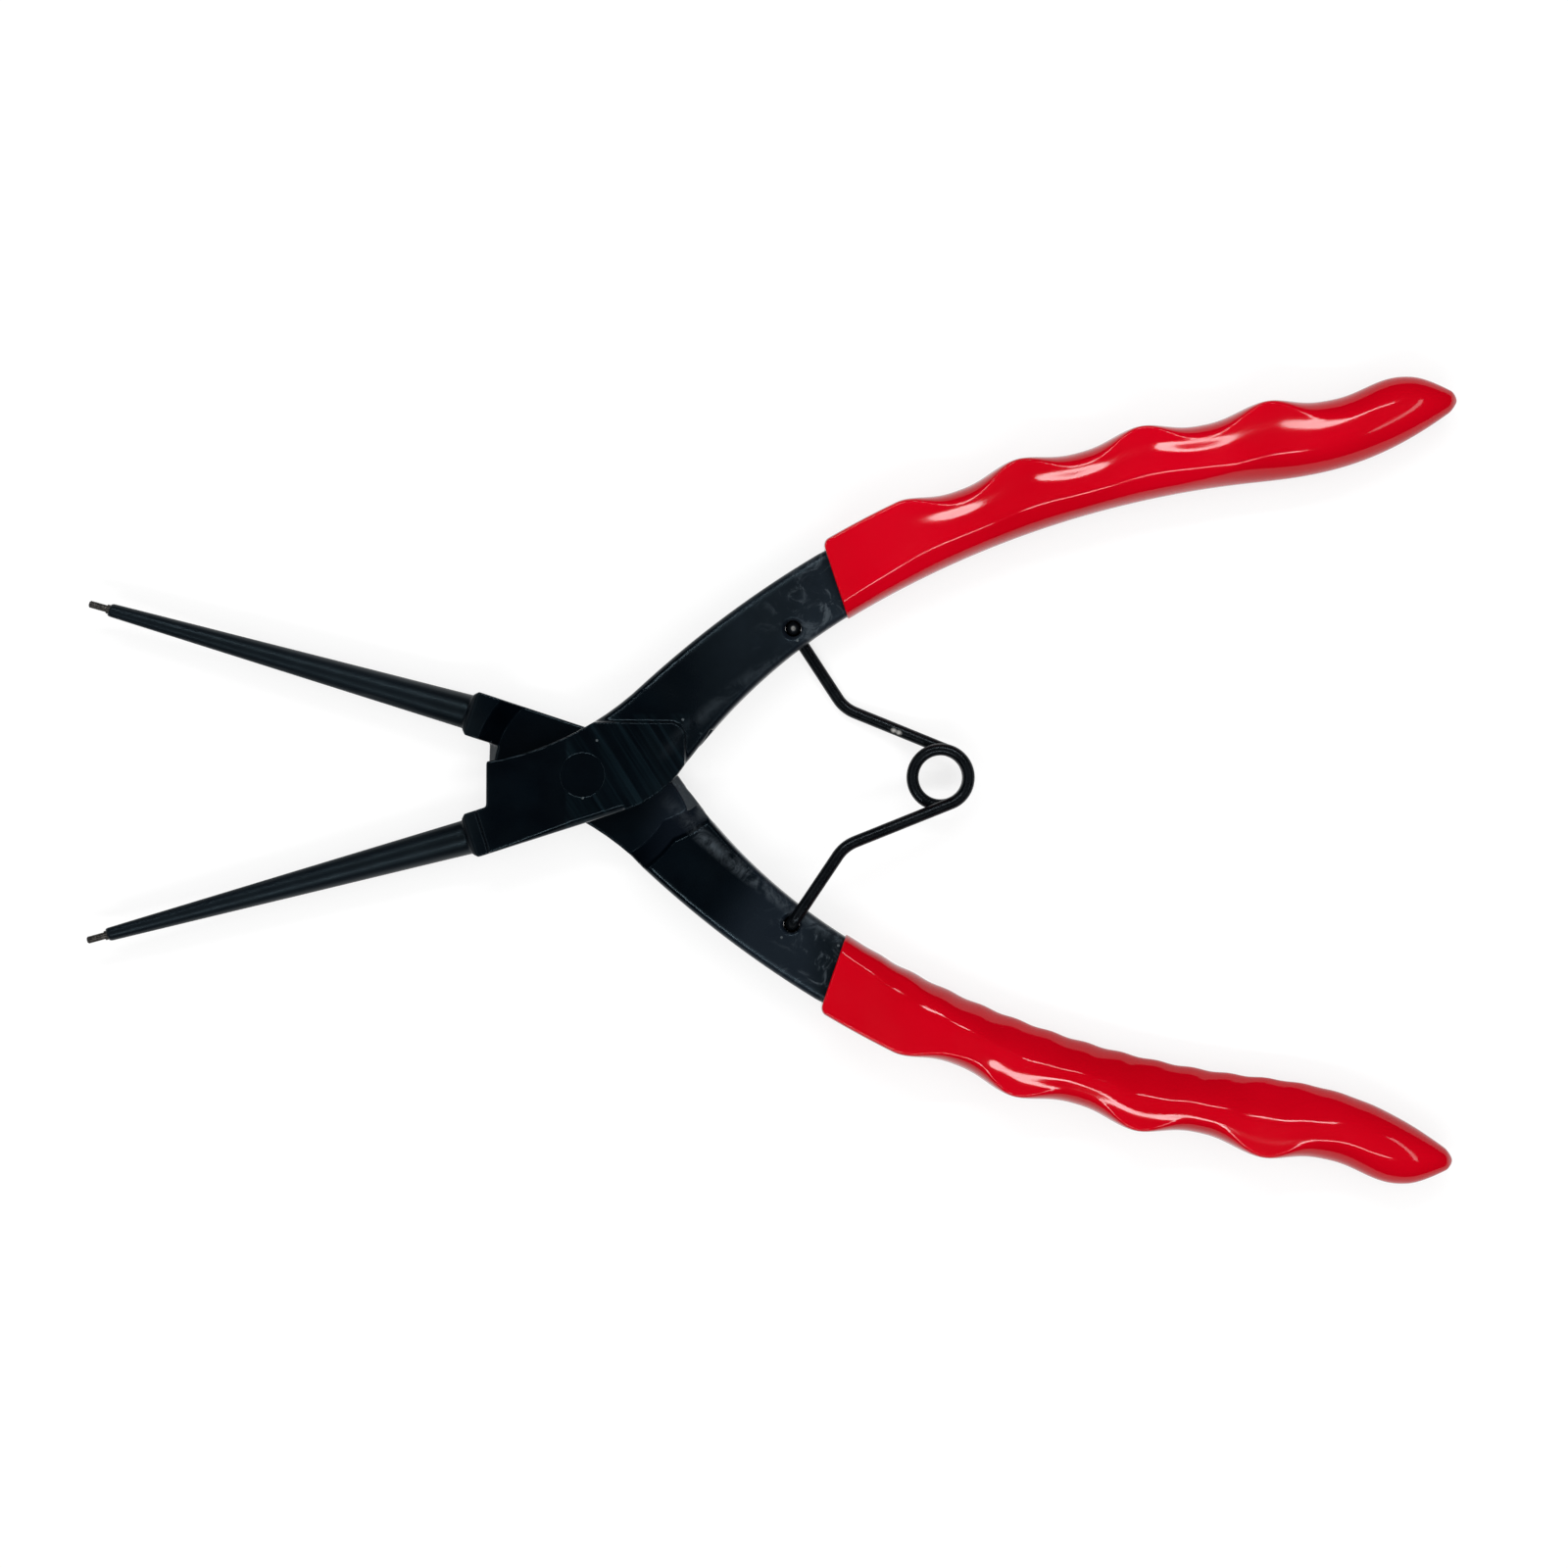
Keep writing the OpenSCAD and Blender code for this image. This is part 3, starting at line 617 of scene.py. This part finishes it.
        return self.ring(
            u, looks.bow_radius - width / 2, looks.bow_radius + width / 2, looks.tang_thickness / 2, box, box,
        )

    def rings(self):
        looks = self.looks
        inside = [looks.tang_length * (1 - t) for t in steps(40)]
        lip = [looks.lip * (1 - math.cos(math.pi / 2 * t)) for t in steps(6)]
        end = looks.grip_length - self.NOSE_CAP
        corner = [mixed(looks.lip, self.CORNER, t) for t in steps(5)[1:]]
        along = [mixed(self.CORNER, end, 1 - (1 - t) ** self.CROWDING) for t in steps(self.ALONG)[1:]]
        cap = [end + self.NOSE_CAP * math.sin(math.pi / 2 * t) for t in steps(8)[1:]]
        return [self.room_ring(u) for u in inside] + [self.outer_ring(u) for u in lip + corner + along + cap]


def wire_rings(path, radii, sides):
    """Round sections along a path, carried without twisting."""
    rings = []
    across = Vector((1, 0, 0))
    for i, point in enumerate(path):
        ahead = (path[min(i + 1, len(path) - 1)] - path[max(i - 1, 0)]).normalized()
        across = (across - across.dot(ahead) * ahead).normalized()
        upward = ahead.cross(across)
        angles = [2 * math.pi * t for t in steps(sides)[:-1]]
        rings.append([point + radii[i] * (math.cos(a) * across + math.sin(a) * upward) for a in angles])
    return rings


def bent(a, corner, c, reach):
    """Points round a corner between two straight stretches."""
    start = corner + reach * (a - corner).normalized()
    end = corner + reach * (c - corner).normalized()
    return [(1 - t) ** 2 * start + 2 * t * (1 - t) * corner + t * t * end for t in steps(10)]


def spring_path(looks):
    """Middle line and radii of the wire's front half about the lap plane, from its peg past mid coil.

    The wire fills its hole, and the stretch that laps the other half's coil is thinner.
    """
    half_turn = math.pi + math.pi / 2 - looks.leg_slope
    rise = (looks.wire_width + looks.turn_gap) / (2 * math.pi)
    radius = looks.coil_width / 2
    spare_lap = math.radians(3)
    lap = SPRING_TRAVEL - REST_OPEN + spare_lap
    hole_room, lap_room = 0.06 * MM, 0.03 * MM
    full, fitted = looks.wire_width / 2, looks.hole_width / 2 - hole_room
    fit_end, full_end = 1.7 * MM, 1.9 * MM
    hook_bend, kink_bend = 1.9 * MM, 2 * MM

    def coil(turn):
        return Vector((
            looks.coil_x + radius * math.cos(math.pi + turn), radius * math.sin(math.pi + turn), -rise * turn,
        ))

    leave = coil(half_turn)
    kink_y = leave.y + (leave.x - looks.kink_x) * math.tan(looks.leg_slope)
    hole = SPRING_HOLE
    peg = Vector((hole.x, hole.y, looks.peg_level))
    hook = Vector((hole.x, hole.y, -looks.leg_level))
    kink = Vector((looks.kink_x, kink_y, -looks.leg_level))
    turns = [mixed(half_turn, -lap, t) for t in steps(90)]
    set_in = [Vector((hole.x, hole.y, z)) for z in (full_end, fit_end, -fit_end, -full_end)]
    legs = bent(peg, hook, kink, hook_bend) + bent(hook, kink, leave, kink_bend)
    path = [peg] + set_in + legs + [coil(turn) for turn in turns]
    radii = [full, full, fitted, fitted, full] + [full] * len(legs)
    radii += [full if turn > 0.0 else full - lap_room for turn in turns]
    return path, radii


# Pieces


class PLIERS_OT_levers(bpy.types.Operator):
    """Softens the forged levers and gives them and the rivet their black finish"""

    bl_idname = "pliers.levers"
    bl_label = "Finish the Levers"

    TOP_Z = 2 * LAP_Z

    # By distance from the pivot along the pliers, negative towards the tips, and the pocket also by height
    ARM_FROM = {"front": 10 * MM, "rear": 20 * MM}
    ARM_TO = {"front": 24 * MM, "rear": 42 * MM}
    NEEDLE_FROM, NEEDLE_TO = -20 * MM, -30 * MM
    GRIP_FROM, GRIP_TO = 26 * MM, 42 * MM
    # Where painted light lightens the rear arm's pocket, which the front lever shades
    POCKET_FROM, POCKET_FULL = 8 * MM, 16 * MM
    POCKET_FADE, POCKET_END = 36 * MM, 42 * MM
    POCKET_TOP, POCKET_LOW = LAP_Z + 4.8 * MM, LAP_Z + 4.2 * MM
    JAW_WEAR_END, JAW_WEAR_FULL = -24 * MM, -16 * MM
    JAW_DULL_FROM, JAW_DULL_TO = -13 * MM, -22 * MM

    # Share of each layer of colour over the one below it
    # The pocket's share is painted light that lightens the pocket in the front lever's shade
    ARM_SHARE, NEEDLE_SKIN, POCKET_SHARE, BARE_SHARE = 0.55, 0.08, 0.75, 0.75
    SKIN_SHARE = {"front": (0.3, 0.7), "rear": (0.1, 0.35)}
    # The streak along the arm's inner edge is partly a painted highlight, laid with the bare share
    STREAK_SHARE = {"front": 0.3, "rear": 1.0}
    SPECK = (0.06, 0.07, 0.075)

    HOLE_QUIET, RIVET_QUIET = 3.6 * MM, 7 * MM
    PAD_X, PAD_HALF, PAD_DEEP, PAD_ANGLE = 7.5 * MM, 10.5 * MM, 1 * MM, math.radians(57)
    # Streak along the arm's inner edge: partly rubbed steel, partly a painted highlight
    STREAK_RADIUS, STREAK_HALF, STREAK_FROM, STREAK_TO = 166.4 * MM, 1.6 * MM, 12 * MM, 46 * MM

    def execute(self, context):
        looks = context.scene.pliers_levers
        groups = edge_wear_group(), dust_group(), grinding_group(), bow_band_group(), round_spot_group()
        for side in SIDES:
            lever = frame["nodes"][side + "_lever"]
            self.soften(lever, looks)
            give(lever, self.finish(side, looks, *groups))
        rivet = frame["nodes"]["pivot_rivet"]
        give(rivet, self.rivet_finish(looks))
        return {"FINISHED"}

    def soften(self, lever, looks):
        remesh = lever.modifiers.new("Forging", "REMESH")
        remesh.mode = "VOXEL"
        remesh.voxel_size = looks.grain
        remesh.use_smooth_shade = True
        smooth = lever.modifiers.new("Rounded edges", "SMOOTH")
        smooth.factor = 0.5
        smooth.iterations = looks.edge_rounds

    def rivet_finish(self, looks):
        material, shader, surface, place = new_material("Blacked rivet")
        cloud = shader.ramp(shader.noise(place, 90.0, 4.0, 0.6), 0.35, 0.7)
        connect(
            shader, surface, Base_Color=shader.mix(cloud, looks.steel, looks.steel_light),
            Normal=bump(shader, shader.noise(place, 700.0, 4.0, 0.6), 0.12, 0.05 * MM),
        )
        surface.inputs["Roughness"].default_value = 0.21
        self.blacked(surface)
        return material

    def blacked(self, surface):
        surface.inputs["Specular IOR Level"].default_value = 0.22
        surface.inputs["Specular Tint"].default_value = (0.6, 0.85, 1.0, 1.0)

    def bow_centre(self, side):
        grips = bpy.context.scene.pliers_grips
        return side_matrix(side) @ Vector((grips.bow_x, grips.bow_y - grips.bow_radius, 0))

    def pocket(self, shader, spot):
        """Mask of the rear arm's pocket and its ramp, which lie in the front lever's shade, for the painted
        light that lightens them.
        """
        low = shader.ramp(spot["Z"], self.POCKET_TOP, self.POCKET_LOW)
        past_rivet = shader.ramp(spot["X"], self.POCKET_FROM, self.POCKET_FULL)
        before_arm = shader.ramp(spot["X"], self.POCKET_END, self.POCKET_FADE)
        return shader.math("MULTIPLY", low, shader.math("MULTIPLY", past_rivet, before_arm))

    def quiet(self, shader, side, place, round_spot):
        """Mask that keeps wear off the rims of the spring hole and the rivet."""
        hole = side_matrix(side) @ side_matrix("front").inverted() @ SPRING_HOLE
        spots = ((hole.x, hole.y, self.TOP_Z), self.HOLE_QUIET), ((0, 0, self.TOP_Z), self.RIVET_QUIET)
        by_hole, by_rivet = (
            placed(shader, round_spot, Place=place, Centre=centre, Radius=radius)["Mask"]
            for centre, radius in spots
        )
        return shader.math("SUBTRACT", 1.0, shader.math("MAXIMUM", by_hole, by_rivet))

    def finish(self, side, looks, wear, dust, grinding, bow_band, round_spot):
        material, shader, surface, place = new_material("Blacked steel " + side)
        spot = shader.node("ShaderNodeSeparateXYZ", {"Vector": place}).outputs
        reach = spot["X"]
        start, end = self.ARM_FROM[side], self.ARM_TO[side]
        arm = shader.math(
            "MAXIMUM", shader.ramp(reach, start, end), shader.ramp(reach, self.NEEDLE_FROM, self.NEEDLE_TO),
        )
        by_grip = shader.ramp(reach, self.GRIP_FROM, self.GRIP_TO)

        # Blacking, thinner in clouds and on the arms, with the forge's grey skin over it, and painted light
        # in the rear arm's shaded pocket
        cloud = shader.ramp(shader.noise(place, 90.0, 4.0, 0.6), 0.35, 0.7)
        base = shader.mix(cloud, looks.steel, looks.steel_light)
        base = shader.mix(shader.math("MULTIPLY", arm, self.ARM_SHARE), base, looks.steel_arm)
        skinned = shader.math(
            "MAXIMUM", shader.ramp(reach, end - 6 * MM, end + 10 * MM),
            shader.ramp(reach, self.NEEDLE_FROM, self.NEEDLE_TO, 0.0, self.NEEDLE_SKIN),
        )
        clouded = shader.ramp(cloud, 0.0, 1.0, *self.SKIN_SHARE[side])
        base = shader.mix(shader.math("MULTIPLY", skinned, clouded), base, looks.steel_skin_and_pocket_light)
        # Painted light: the rear arm's pocket and ramp lie in the front lever's shade and are lightened
        # towards the skin colour
        if side == "rear":
            pocket_light = shader.math("MULTIPLY", self.pocket(shader, spot), self.POCKET_SHARE)
            base = shader.mix(pocket_light, base, looks.steel_skin_and_pocket_light)

        # Grinding marks on the plate
        pad = placed(
            shader, grinding, Place=place, Centre=(self.PAD_X, 0.0, self.TOP_Z),
            Half_size=(self.PAD_HALF, self.PAD_HALF, self.PAD_DEEP),
            Angle=(0, 0, self.PAD_ANGLE), Scale=520.0,
        )
        scratches = shader.math("MULTIPLY", shader.ramp(pad["Scratches"], 0.42, 0.7), pad["Mask"])
        base = shader.mix(scratches, base, looks.steel_ground)

        # Light flecks by the grip, and a streak along the arm's inner edge that is partly rubbed steel and
        # partly a painted highlight
        skin = shader.noise(place, 240.0, 6.0, 0.7, 1.5)
        crackle = shader.math("MULTIPLY", shader.ramp(skin, 0.52, 0.68), by_grip)
        band = placed(
            shader, bow_band, Place=place, Centre=self.bow_centre(side), Radius=self.STREAK_RADIUS,
            Half_width=self.STREAK_HALF, Start=self.STREAK_FROM, End=self.STREAK_TO,
        )["Mask"]
        torn_and_sheen = shader.ramp(skin, 0.38, 0.62, 0.0, self.STREAK_SHARE[side])
        bare_and_sheen = shader.math("MAXIMUM", crackle, shader.math("MULTIPLY", band, torn_and_sheen))
        base = shader.mix(shader.math("MULTIPLY", bare_and_sheen, self.BARE_SHARE), base, looks.steel_bare_and_sheen)

        # Rubbed edges, though not on the jaws, and dust
        rubbed = placed(shader, wear, Place=place, Start=0.552, Width=0.08, Patch_scale=110.0)["Mask"]
        rubbed = shader.math("MULTIPLY", rubbed, self.quiet(shader, side, place, round_spot))
        rubbed = shader.math("MULTIPLY", rubbed, shader.ramp(reach, self.JAW_WEAR_END, self.JAW_WEAR_FULL))
        base = shader.mix(rubbed, base, looks.worn)
        specks = placed(shader, dust, Place=place, Scale=420.0, Speck_size=0.1, Amount=0.04)["Mask"]
        base = shader.mix(specks, base, self.SPECK)

        grain = shader.noise(place, 700.0, 4.0, 0.6)
        height = shader.math("MULTIPLY", grain, shader.ramp(reach, -5 * MM, 20 * MM, 0.12, 0.3))
        crust = shader.math("MULTIPLY", skin, shader.math("MULTIPLY", by_grip, 1.8))
        height = shader.math("ADD", height, crust)
        height = shader.math("ADD", height, shader.math("MULTIPLY", scratches, 0.3))
        patchy = shader.ramp(shader.noise(place, 160.0, 3.0), 0.2, 0.8, -0.04, 0.04)
        rough = shader.math("ADD", patchy, shader.ramp(reach, start - 6 * MM, end + 10 * MM, 0.2, 0.36))
        dull = shader.ramp(reach, self.JAW_DULL_FROM, self.JAW_DULL_TO, 0.0, 0.2)
        rough = shader.math("ADD", rough, dull)
        connect(
            shader, surface, Base_Color=base, Roughness=rough, Metallic=shader.math("MULTIPLY", rubbed, 0.25),
            Normal=bump(shader, height, 0.35, 0.12 * MM),
        )
        self.blacked(surface)
        return material


class PLIERS_OT_tips(bpy.types.Operator):
    """Gives the tip pins their grey hardened finish"""

    bl_idname = "pliers.tips"
    bl_label = "Finish the Tips"

    BROKEN_EDGE = 0.08 * MM

    def execute(self, context):
        looks = context.scene.pliers_tips
        material, shader, surface, place = new_material("Hardened tip steel")
        stain = shader.ramp(shader.noise(place, 900.0, 4.0, 0.6), 0.35, 0.65)
        rough = shader.ramp(shader.noise(place, 2500.0, 2.0), 0.3, 0.7, 0.3, 0.5)
        connect(
            shader, surface, Base_Color=shader.mix(stain, looks.tip, looks.tip_dark), Roughness=rough,
            Normal=bump(shader, shader.noise(place, 4000.0, 2.0), 0.2, 0.03 * MM),
        )
        surface.inputs["Metallic"].default_value = 0.7
        for side in SIDES:
            pin = frame["nodes"][side + "_tip_pin"]
            edge = pin.modifiers.new("Broken edges", "BEVEL")
            edge.width = self.BROKEN_EDGE
            edge.segments = 2
            edge.limit_method = "ANGLE"
            give(pin, material)
        return {"FINISHED"}


class PLIERS_OT_grips(bpy.types.Operator):
    """Builds the dipped vinyl grips with their finger grooves"""

    bl_idname = "pliers.grips"
    bl_label = "Build the Grips"

    INNER_RIPPLE = {"front": 0.0, "rear": 0.2 * MM}

    def execute(self, context):
        looks = context.scene.pliers_grips
        vinyl = self.vinyl(looks)
        for side, ripple in self.INNER_RIPPLE.items():
            grip = loft_object(side + "_vinyl_grip", GripForm(looks, ripple).rings(), side_matrix(side))
            give(grip, vinyl)
            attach(grip, side)
            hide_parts(side + "_grip")
        return {"FINISHED"}

    def vinyl(self, looks):
        material, shader, surface, place = new_material("Red dipped vinyl")
        thick = shader.ramp(shader.noise(place, 28.0, 3.0, 0.5), 0.3, 0.75)
        rough = shader.ramp(shader.noise(place, 90.0, 3.0), 0.3, 0.75, 0.05, 0.1)
        flow = shader.noise(place, 45.0, 2.0, 0.4)
        connect(
            shader, surface, Base_Color=shader.mix(thick, looks.vinyl, looks.vinyl_deep), Roughness=rough,
            Normal=bump(shader, flow, 0.15, 0.4 * MM),
        )
        surface.inputs["Specular IOR Level"].default_value = 0.26
        return material


class PLIERS_OT_spring(bpy.types.Operator):
    """Builds the two halves of the return spring's wire"""

    bl_idname = "pliers.spring"
    bl_label = "Build the Spring"

    WIRE_SIDES = 20
    # Two spots on the front leg that are partly rubbed wire and partly a painted highlight
    LEG_RUB, LEG_RUB_STEP = Vector((52.4, 7.5, 4.3)) * MM, Vector((0.42, -0.17, 0.08)) * MM
    LEG_RUB_RADIUS, PEG_RUB_RADIUS, PEG_RUB_SHARE = 0.95 * MM, 0.5 * MM, 0.35

    def execute(self, context):
        looks = context.scene.pliers_spring
        path, radii = spring_path(looks)
        rings = wire_rings(path, radii, self.WIRE_SIDES)
        steel = self.steel(looks, round_spot_group())
        lift = Matrix.Translation((0, 0, LAP_Z))
        for side, turn in (("front", Matrix.Identity(4)), ("rear", Matrix.Rotation(math.pi, 4, "X"))):
            wire = loft_object(side + "_spring_wire", rings, lift @ turn)
            give(wire, steel)
            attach(wire, side + "_spring")
            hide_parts(side + "_spring_half")
        return {"FINISHED"}

    def worn_and_glint_spots(self, looks):
        """Light places, each with its radius and share: two on the front leg, which are partly rubbed wire
        and partly a painted highlight, and the front peg's rubbed end.
        """
        peg = SPRING_HOLE + Vector((0, 0, looks.peg_level))
        return (
            (self.LEG_RUB - self.LEG_RUB_STEP, self.LEG_RUB_RADIUS, 1.0),
            (self.LEG_RUB + self.LEG_RUB_STEP, self.LEG_RUB_RADIUS, 1.0),
            (peg, self.PEG_RUB_RADIUS, self.PEG_RUB_SHARE),
        )

    def steel(self, looks, round_spot):
        material, shader, surface, place = new_material("Black spring wire")
        flecks = shader.ramp(shader.noise(place, 800.0, 4.0, 0.7), 0.66, 0.76, 0.0, 0.04)
        tatters = shader.ramp(shader.noise(place, 1200.0, 4.0, 0.7), 0.35, 0.5, 0.35, 1.0)
        # Rubbed flecks, and the leg's spots that are partly a painted highlight
        rub_and_glint = flecks
        for centre, radius, amount in self.worn_and_glint_spots(looks):
            spot = placed(shader, round_spot, Place=place, Centre=centre, Radius=radius)["Mask"]
            torn_and_sheen = shader.math("MULTIPLY", spot, tatters)
            rub_and_glint = shader.math("MAXIMUM", rub_and_glint, shader.math("MULTIPLY", torn_and_sheen, amount))
        rough = shader.ramp(shader.noise(place, 500.0, 3.0), 0.3, 0.7, 0.24, 0.36)
        connect(
            shader, surface, Base_Color=shader.mix(rub_and_glint, looks.wire, looks.bare_and_sheen),
            Roughness=rough, Normal=bump(shader, shader.noise(place, 1500.0, 3.0), 0.25, 0.05 * MM),
        )
        surface.inputs["Specular IOR Level"].default_value = 0.2
        surface.inputs["Specular Tint"].default_value = (0.75, 0.88, 1.0, 1.0)
        return material


class PLIERS_OT_stage(bpy.types.Operator):
    """Lays the floor and sets the lights and the camera"""

    bl_idname = "pliers.stage"
    bl_label = "Set the Stage"

    WHITE = (1.0, 1.0, 1.0, 1.0)
    FLOOR_HALF = 3.0
    FLOOR_GLOW = 1.05
    SKY_FOCUS, SKY_GAIN = 3.0, 2.5
    STRIP_LENGTH, STRIP_WIDTH, STRIP_AWAY = 0.8, 0.055, 1.0
    SENSOR = 36.0

    def execute(self, context):
        looks = context.scene.pliers_stage
        context.scene.view_settings.view_transform = "Standard"
        self.floor(looks)
        self.world(context.scene, looks)
        middle = Vector((looks.centre_x, looks.centre_y, LAP_Z))
        self.strip("Far strip", middle, bearing=92, rise=56, power=3.1)
        self.strip("Near strip", middle, bearing=268, rise=56, power=3.1)
        self.strip("Jaw strip", middle, bearing=180, rise=50, power=0.8)
        self.strip("Heel strip", middle, bearing=0, rise=50, power=0.8)
        self.camera(context.scene, looks, middle)
        return {"FINISHED"}

    def floor(self, looks):
        """White with a faint shadow where it is looked at or mirrored, and greyer in the light it throws."""
        half = self.FLOOR_HALF
        mesh = bpy.data.meshes.new("Floor")
        corners = (-half, -half, 0), (half, -half, 0), (half, half, 0), (-half, half, 0)
        mesh.from_pydata(corners, [], [(0, 1, 2, 3)])
        floor = bpy.data.objects.new("Floor", mesh)
        bpy.context.scene.collection.objects.link(floor)
        material, shader, surface, place = new_material("Pale floor")
        surface.inputs["Base Color"].default_value = (*looks.floor, 1.0)
        surface.inputs["Roughness"].default_value = 1.0
        surface.inputs["Specular IOR Level"].default_value = 0.0
        path = shader.node("ShaderNodeLightPath").outputs
        glow = shader.node("ShaderNodeEmission", {"Color": (*looks.floor, 1.0), "Strength": self.FLOOR_GLOW})
        lifted = self.either(shader, looks.floor_lift, surface.outputs["BSDF"], glow.outputs["Emission"])
        bounce = shader.node("ShaderNodeBsdfDiffuse", {"Color": (*looks.floor_bounce, 1.0)})
        looked_at = shader.math("MAXIMUM", path["Is Camera Ray"], path["Is Glossy Ray"])
        looked_at = shader.math("MAXIMUM", looked_at, path["Is Transmission Ray"])
        chosen = self.either(shader, looked_at, bounce.outputs["BSDF"], lifted)
        shader.tree.links.new(chosen, shader.tree.nodes["Material Output"].inputs["Surface"])
        give(floor, material)

    def either(self, shader, share_of_second, first, second):
        """A mix of two shaders."""
        made = shader.node("ShaderNodeMixShader")
        if isinstance(share_of_second, bpy.types.NodeSocket):
            shader.tree.links.new(share_of_second, made.inputs["Fac"])
        else:
            made.inputs["Fac"].default_value = share_of_second
        shader.tree.links.new(first, made.inputs[1])
        shader.tree.links.new(second, made.inputs[2])
        return made.outputs["Shader"]

    def world(self, scene, looks):
        """Soft light from overhead, which the pliers mirror as a dim even sky."""
        world = bpy.data.worlds.new("Studio")
        world.use_nodes = True
        shader = Shader(world.node_tree)
        soft = world.node_tree.nodes["Background"]
        soft.inputs["Color"].default_value = self.WHITE
        toward = shader.node("ShaderNodeTexCoord").outputs["Generated"]
        height = shader.node("ShaderNodeSeparateXYZ", {"Vector": toward}).outputs["Z"]
        overhead = shader.math("POWER", shader.math("MAXIMUM", height, 0.0), self.SKY_FOCUS)
        strength = shader.math("MULTIPLY", overhead, self.SKY_GAIN * looks.sky)
        shader.tree.links.new(strength, soft.inputs["Strength"])
        dim = shader.node("ShaderNodeBackground", {"Color": self.WHITE, "Strength": looks.sky_mirrored})
        ray = shader.node("ShaderNodeLightPath").outputs["Is Glossy Ray"]
        chosen = self.either(shader, ray, soft.outputs["Background"], dim.outputs["Background"])
        shader.tree.links.new(chosen, world.node_tree.nodes["World Output"].inputs["Surface"])
        scene.world = world

    def strip(self, name, middle, bearing, rise, power):
        """A long lamp that faces the middle, by its bearing and rise in degrees."""
        lamp = bpy.data.lights.new(name, "AREA")
        lamp.shape = "RECTANGLE"
        lamp.size, lamp.size_y = self.STRIP_LENGTH, self.STRIP_WIDTH
        lamp.energy = power
        made = bpy.data.objects.new(name, lamp)
        turn, lift = math.radians(bearing), math.radians(rise)
        level = Vector((math.cos(turn), math.sin(turn), 0))
        away = math.cos(lift) * level + math.sin(lift) * Vector((0, 0, 1))
        along = Vector((-math.sin(turn), math.cos(turn), 0))
        facing = Matrix((along, away.cross(along), away)).transposed().to_4x4()
        made.matrix_world = Matrix.Translation(middle + self.STRIP_AWAY * away) @ facing
        bpy.context.scene.collection.objects.link(made)

    def camera(self, scene, looks, middle):
        data = bpy.data.cameras.new("Camera")
        data.sensor_width = self.SENSOR
        data.lens = data.sensor_width * looks.camera_height / looks.frame_width
        camera = bpy.data.objects.new("Camera", data)
        camera.location = middle + Vector((0, 0, looks.camera_height))
        camera.rotation_euler = (0, 0, looks.roll)
        scene.collection.objects.link(camera)
        scene.camera = camera


class PLIERS_PT_panel(bpy.types.Panel):
    """Lists the pieces of the pliers"""

    bl_idname = "PLIERS_PT_panel"
    bl_label = "Circlip Pliers"
    bl_space_type = "VIEW_3D"
    bl_region_type = "UI"
    bl_category = "Pliers"

    def draw(self, context):
        for operator in OPERATORS:
            self.layout.operator(operator.bl_idname)


OPERATORS = (PLIERS_OT_levers, PLIERS_OT_tips, PLIERS_OT_grips, PLIERS_OT_spring, PLIERS_OT_stage)
GROUPS = {
    "pliers_levers": LeverLooks, "pliers_tips": TipLooks, "pliers_grips": GripLooks,
    "pliers_spring": SpringLooks, "pliers_stage": StageLooks,
}


def register():
    for name, kind in GROUPS.items():
        bpy.utils.register_class(kind)
        setattr(bpy.types.Scene, name, bpy.props.PointerProperty(type=kind))
    for kind in (*OPERATORS, PLIERS_PT_panel):
        bpy.utils.register_class(kind)


def unregister():
    for kind in (PLIERS_PT_panel, *reversed(OPERATORS)):
        bpy.utils.unregister_class(kind)
    for name, kind in GROUPS.items():
        delattr(bpy.types.Scene, name)
        bpy.utils.unregister_class(kind)


def main():
    register()
    bpy.ops.pliers.levers()
    bpy.ops.pliers.tips()
    bpy.ops.pliers.grips()
    bpy.ops.pliers.spring()
    bpy.ops.pliers.stage()


if __name__ == "__main__":
    main()
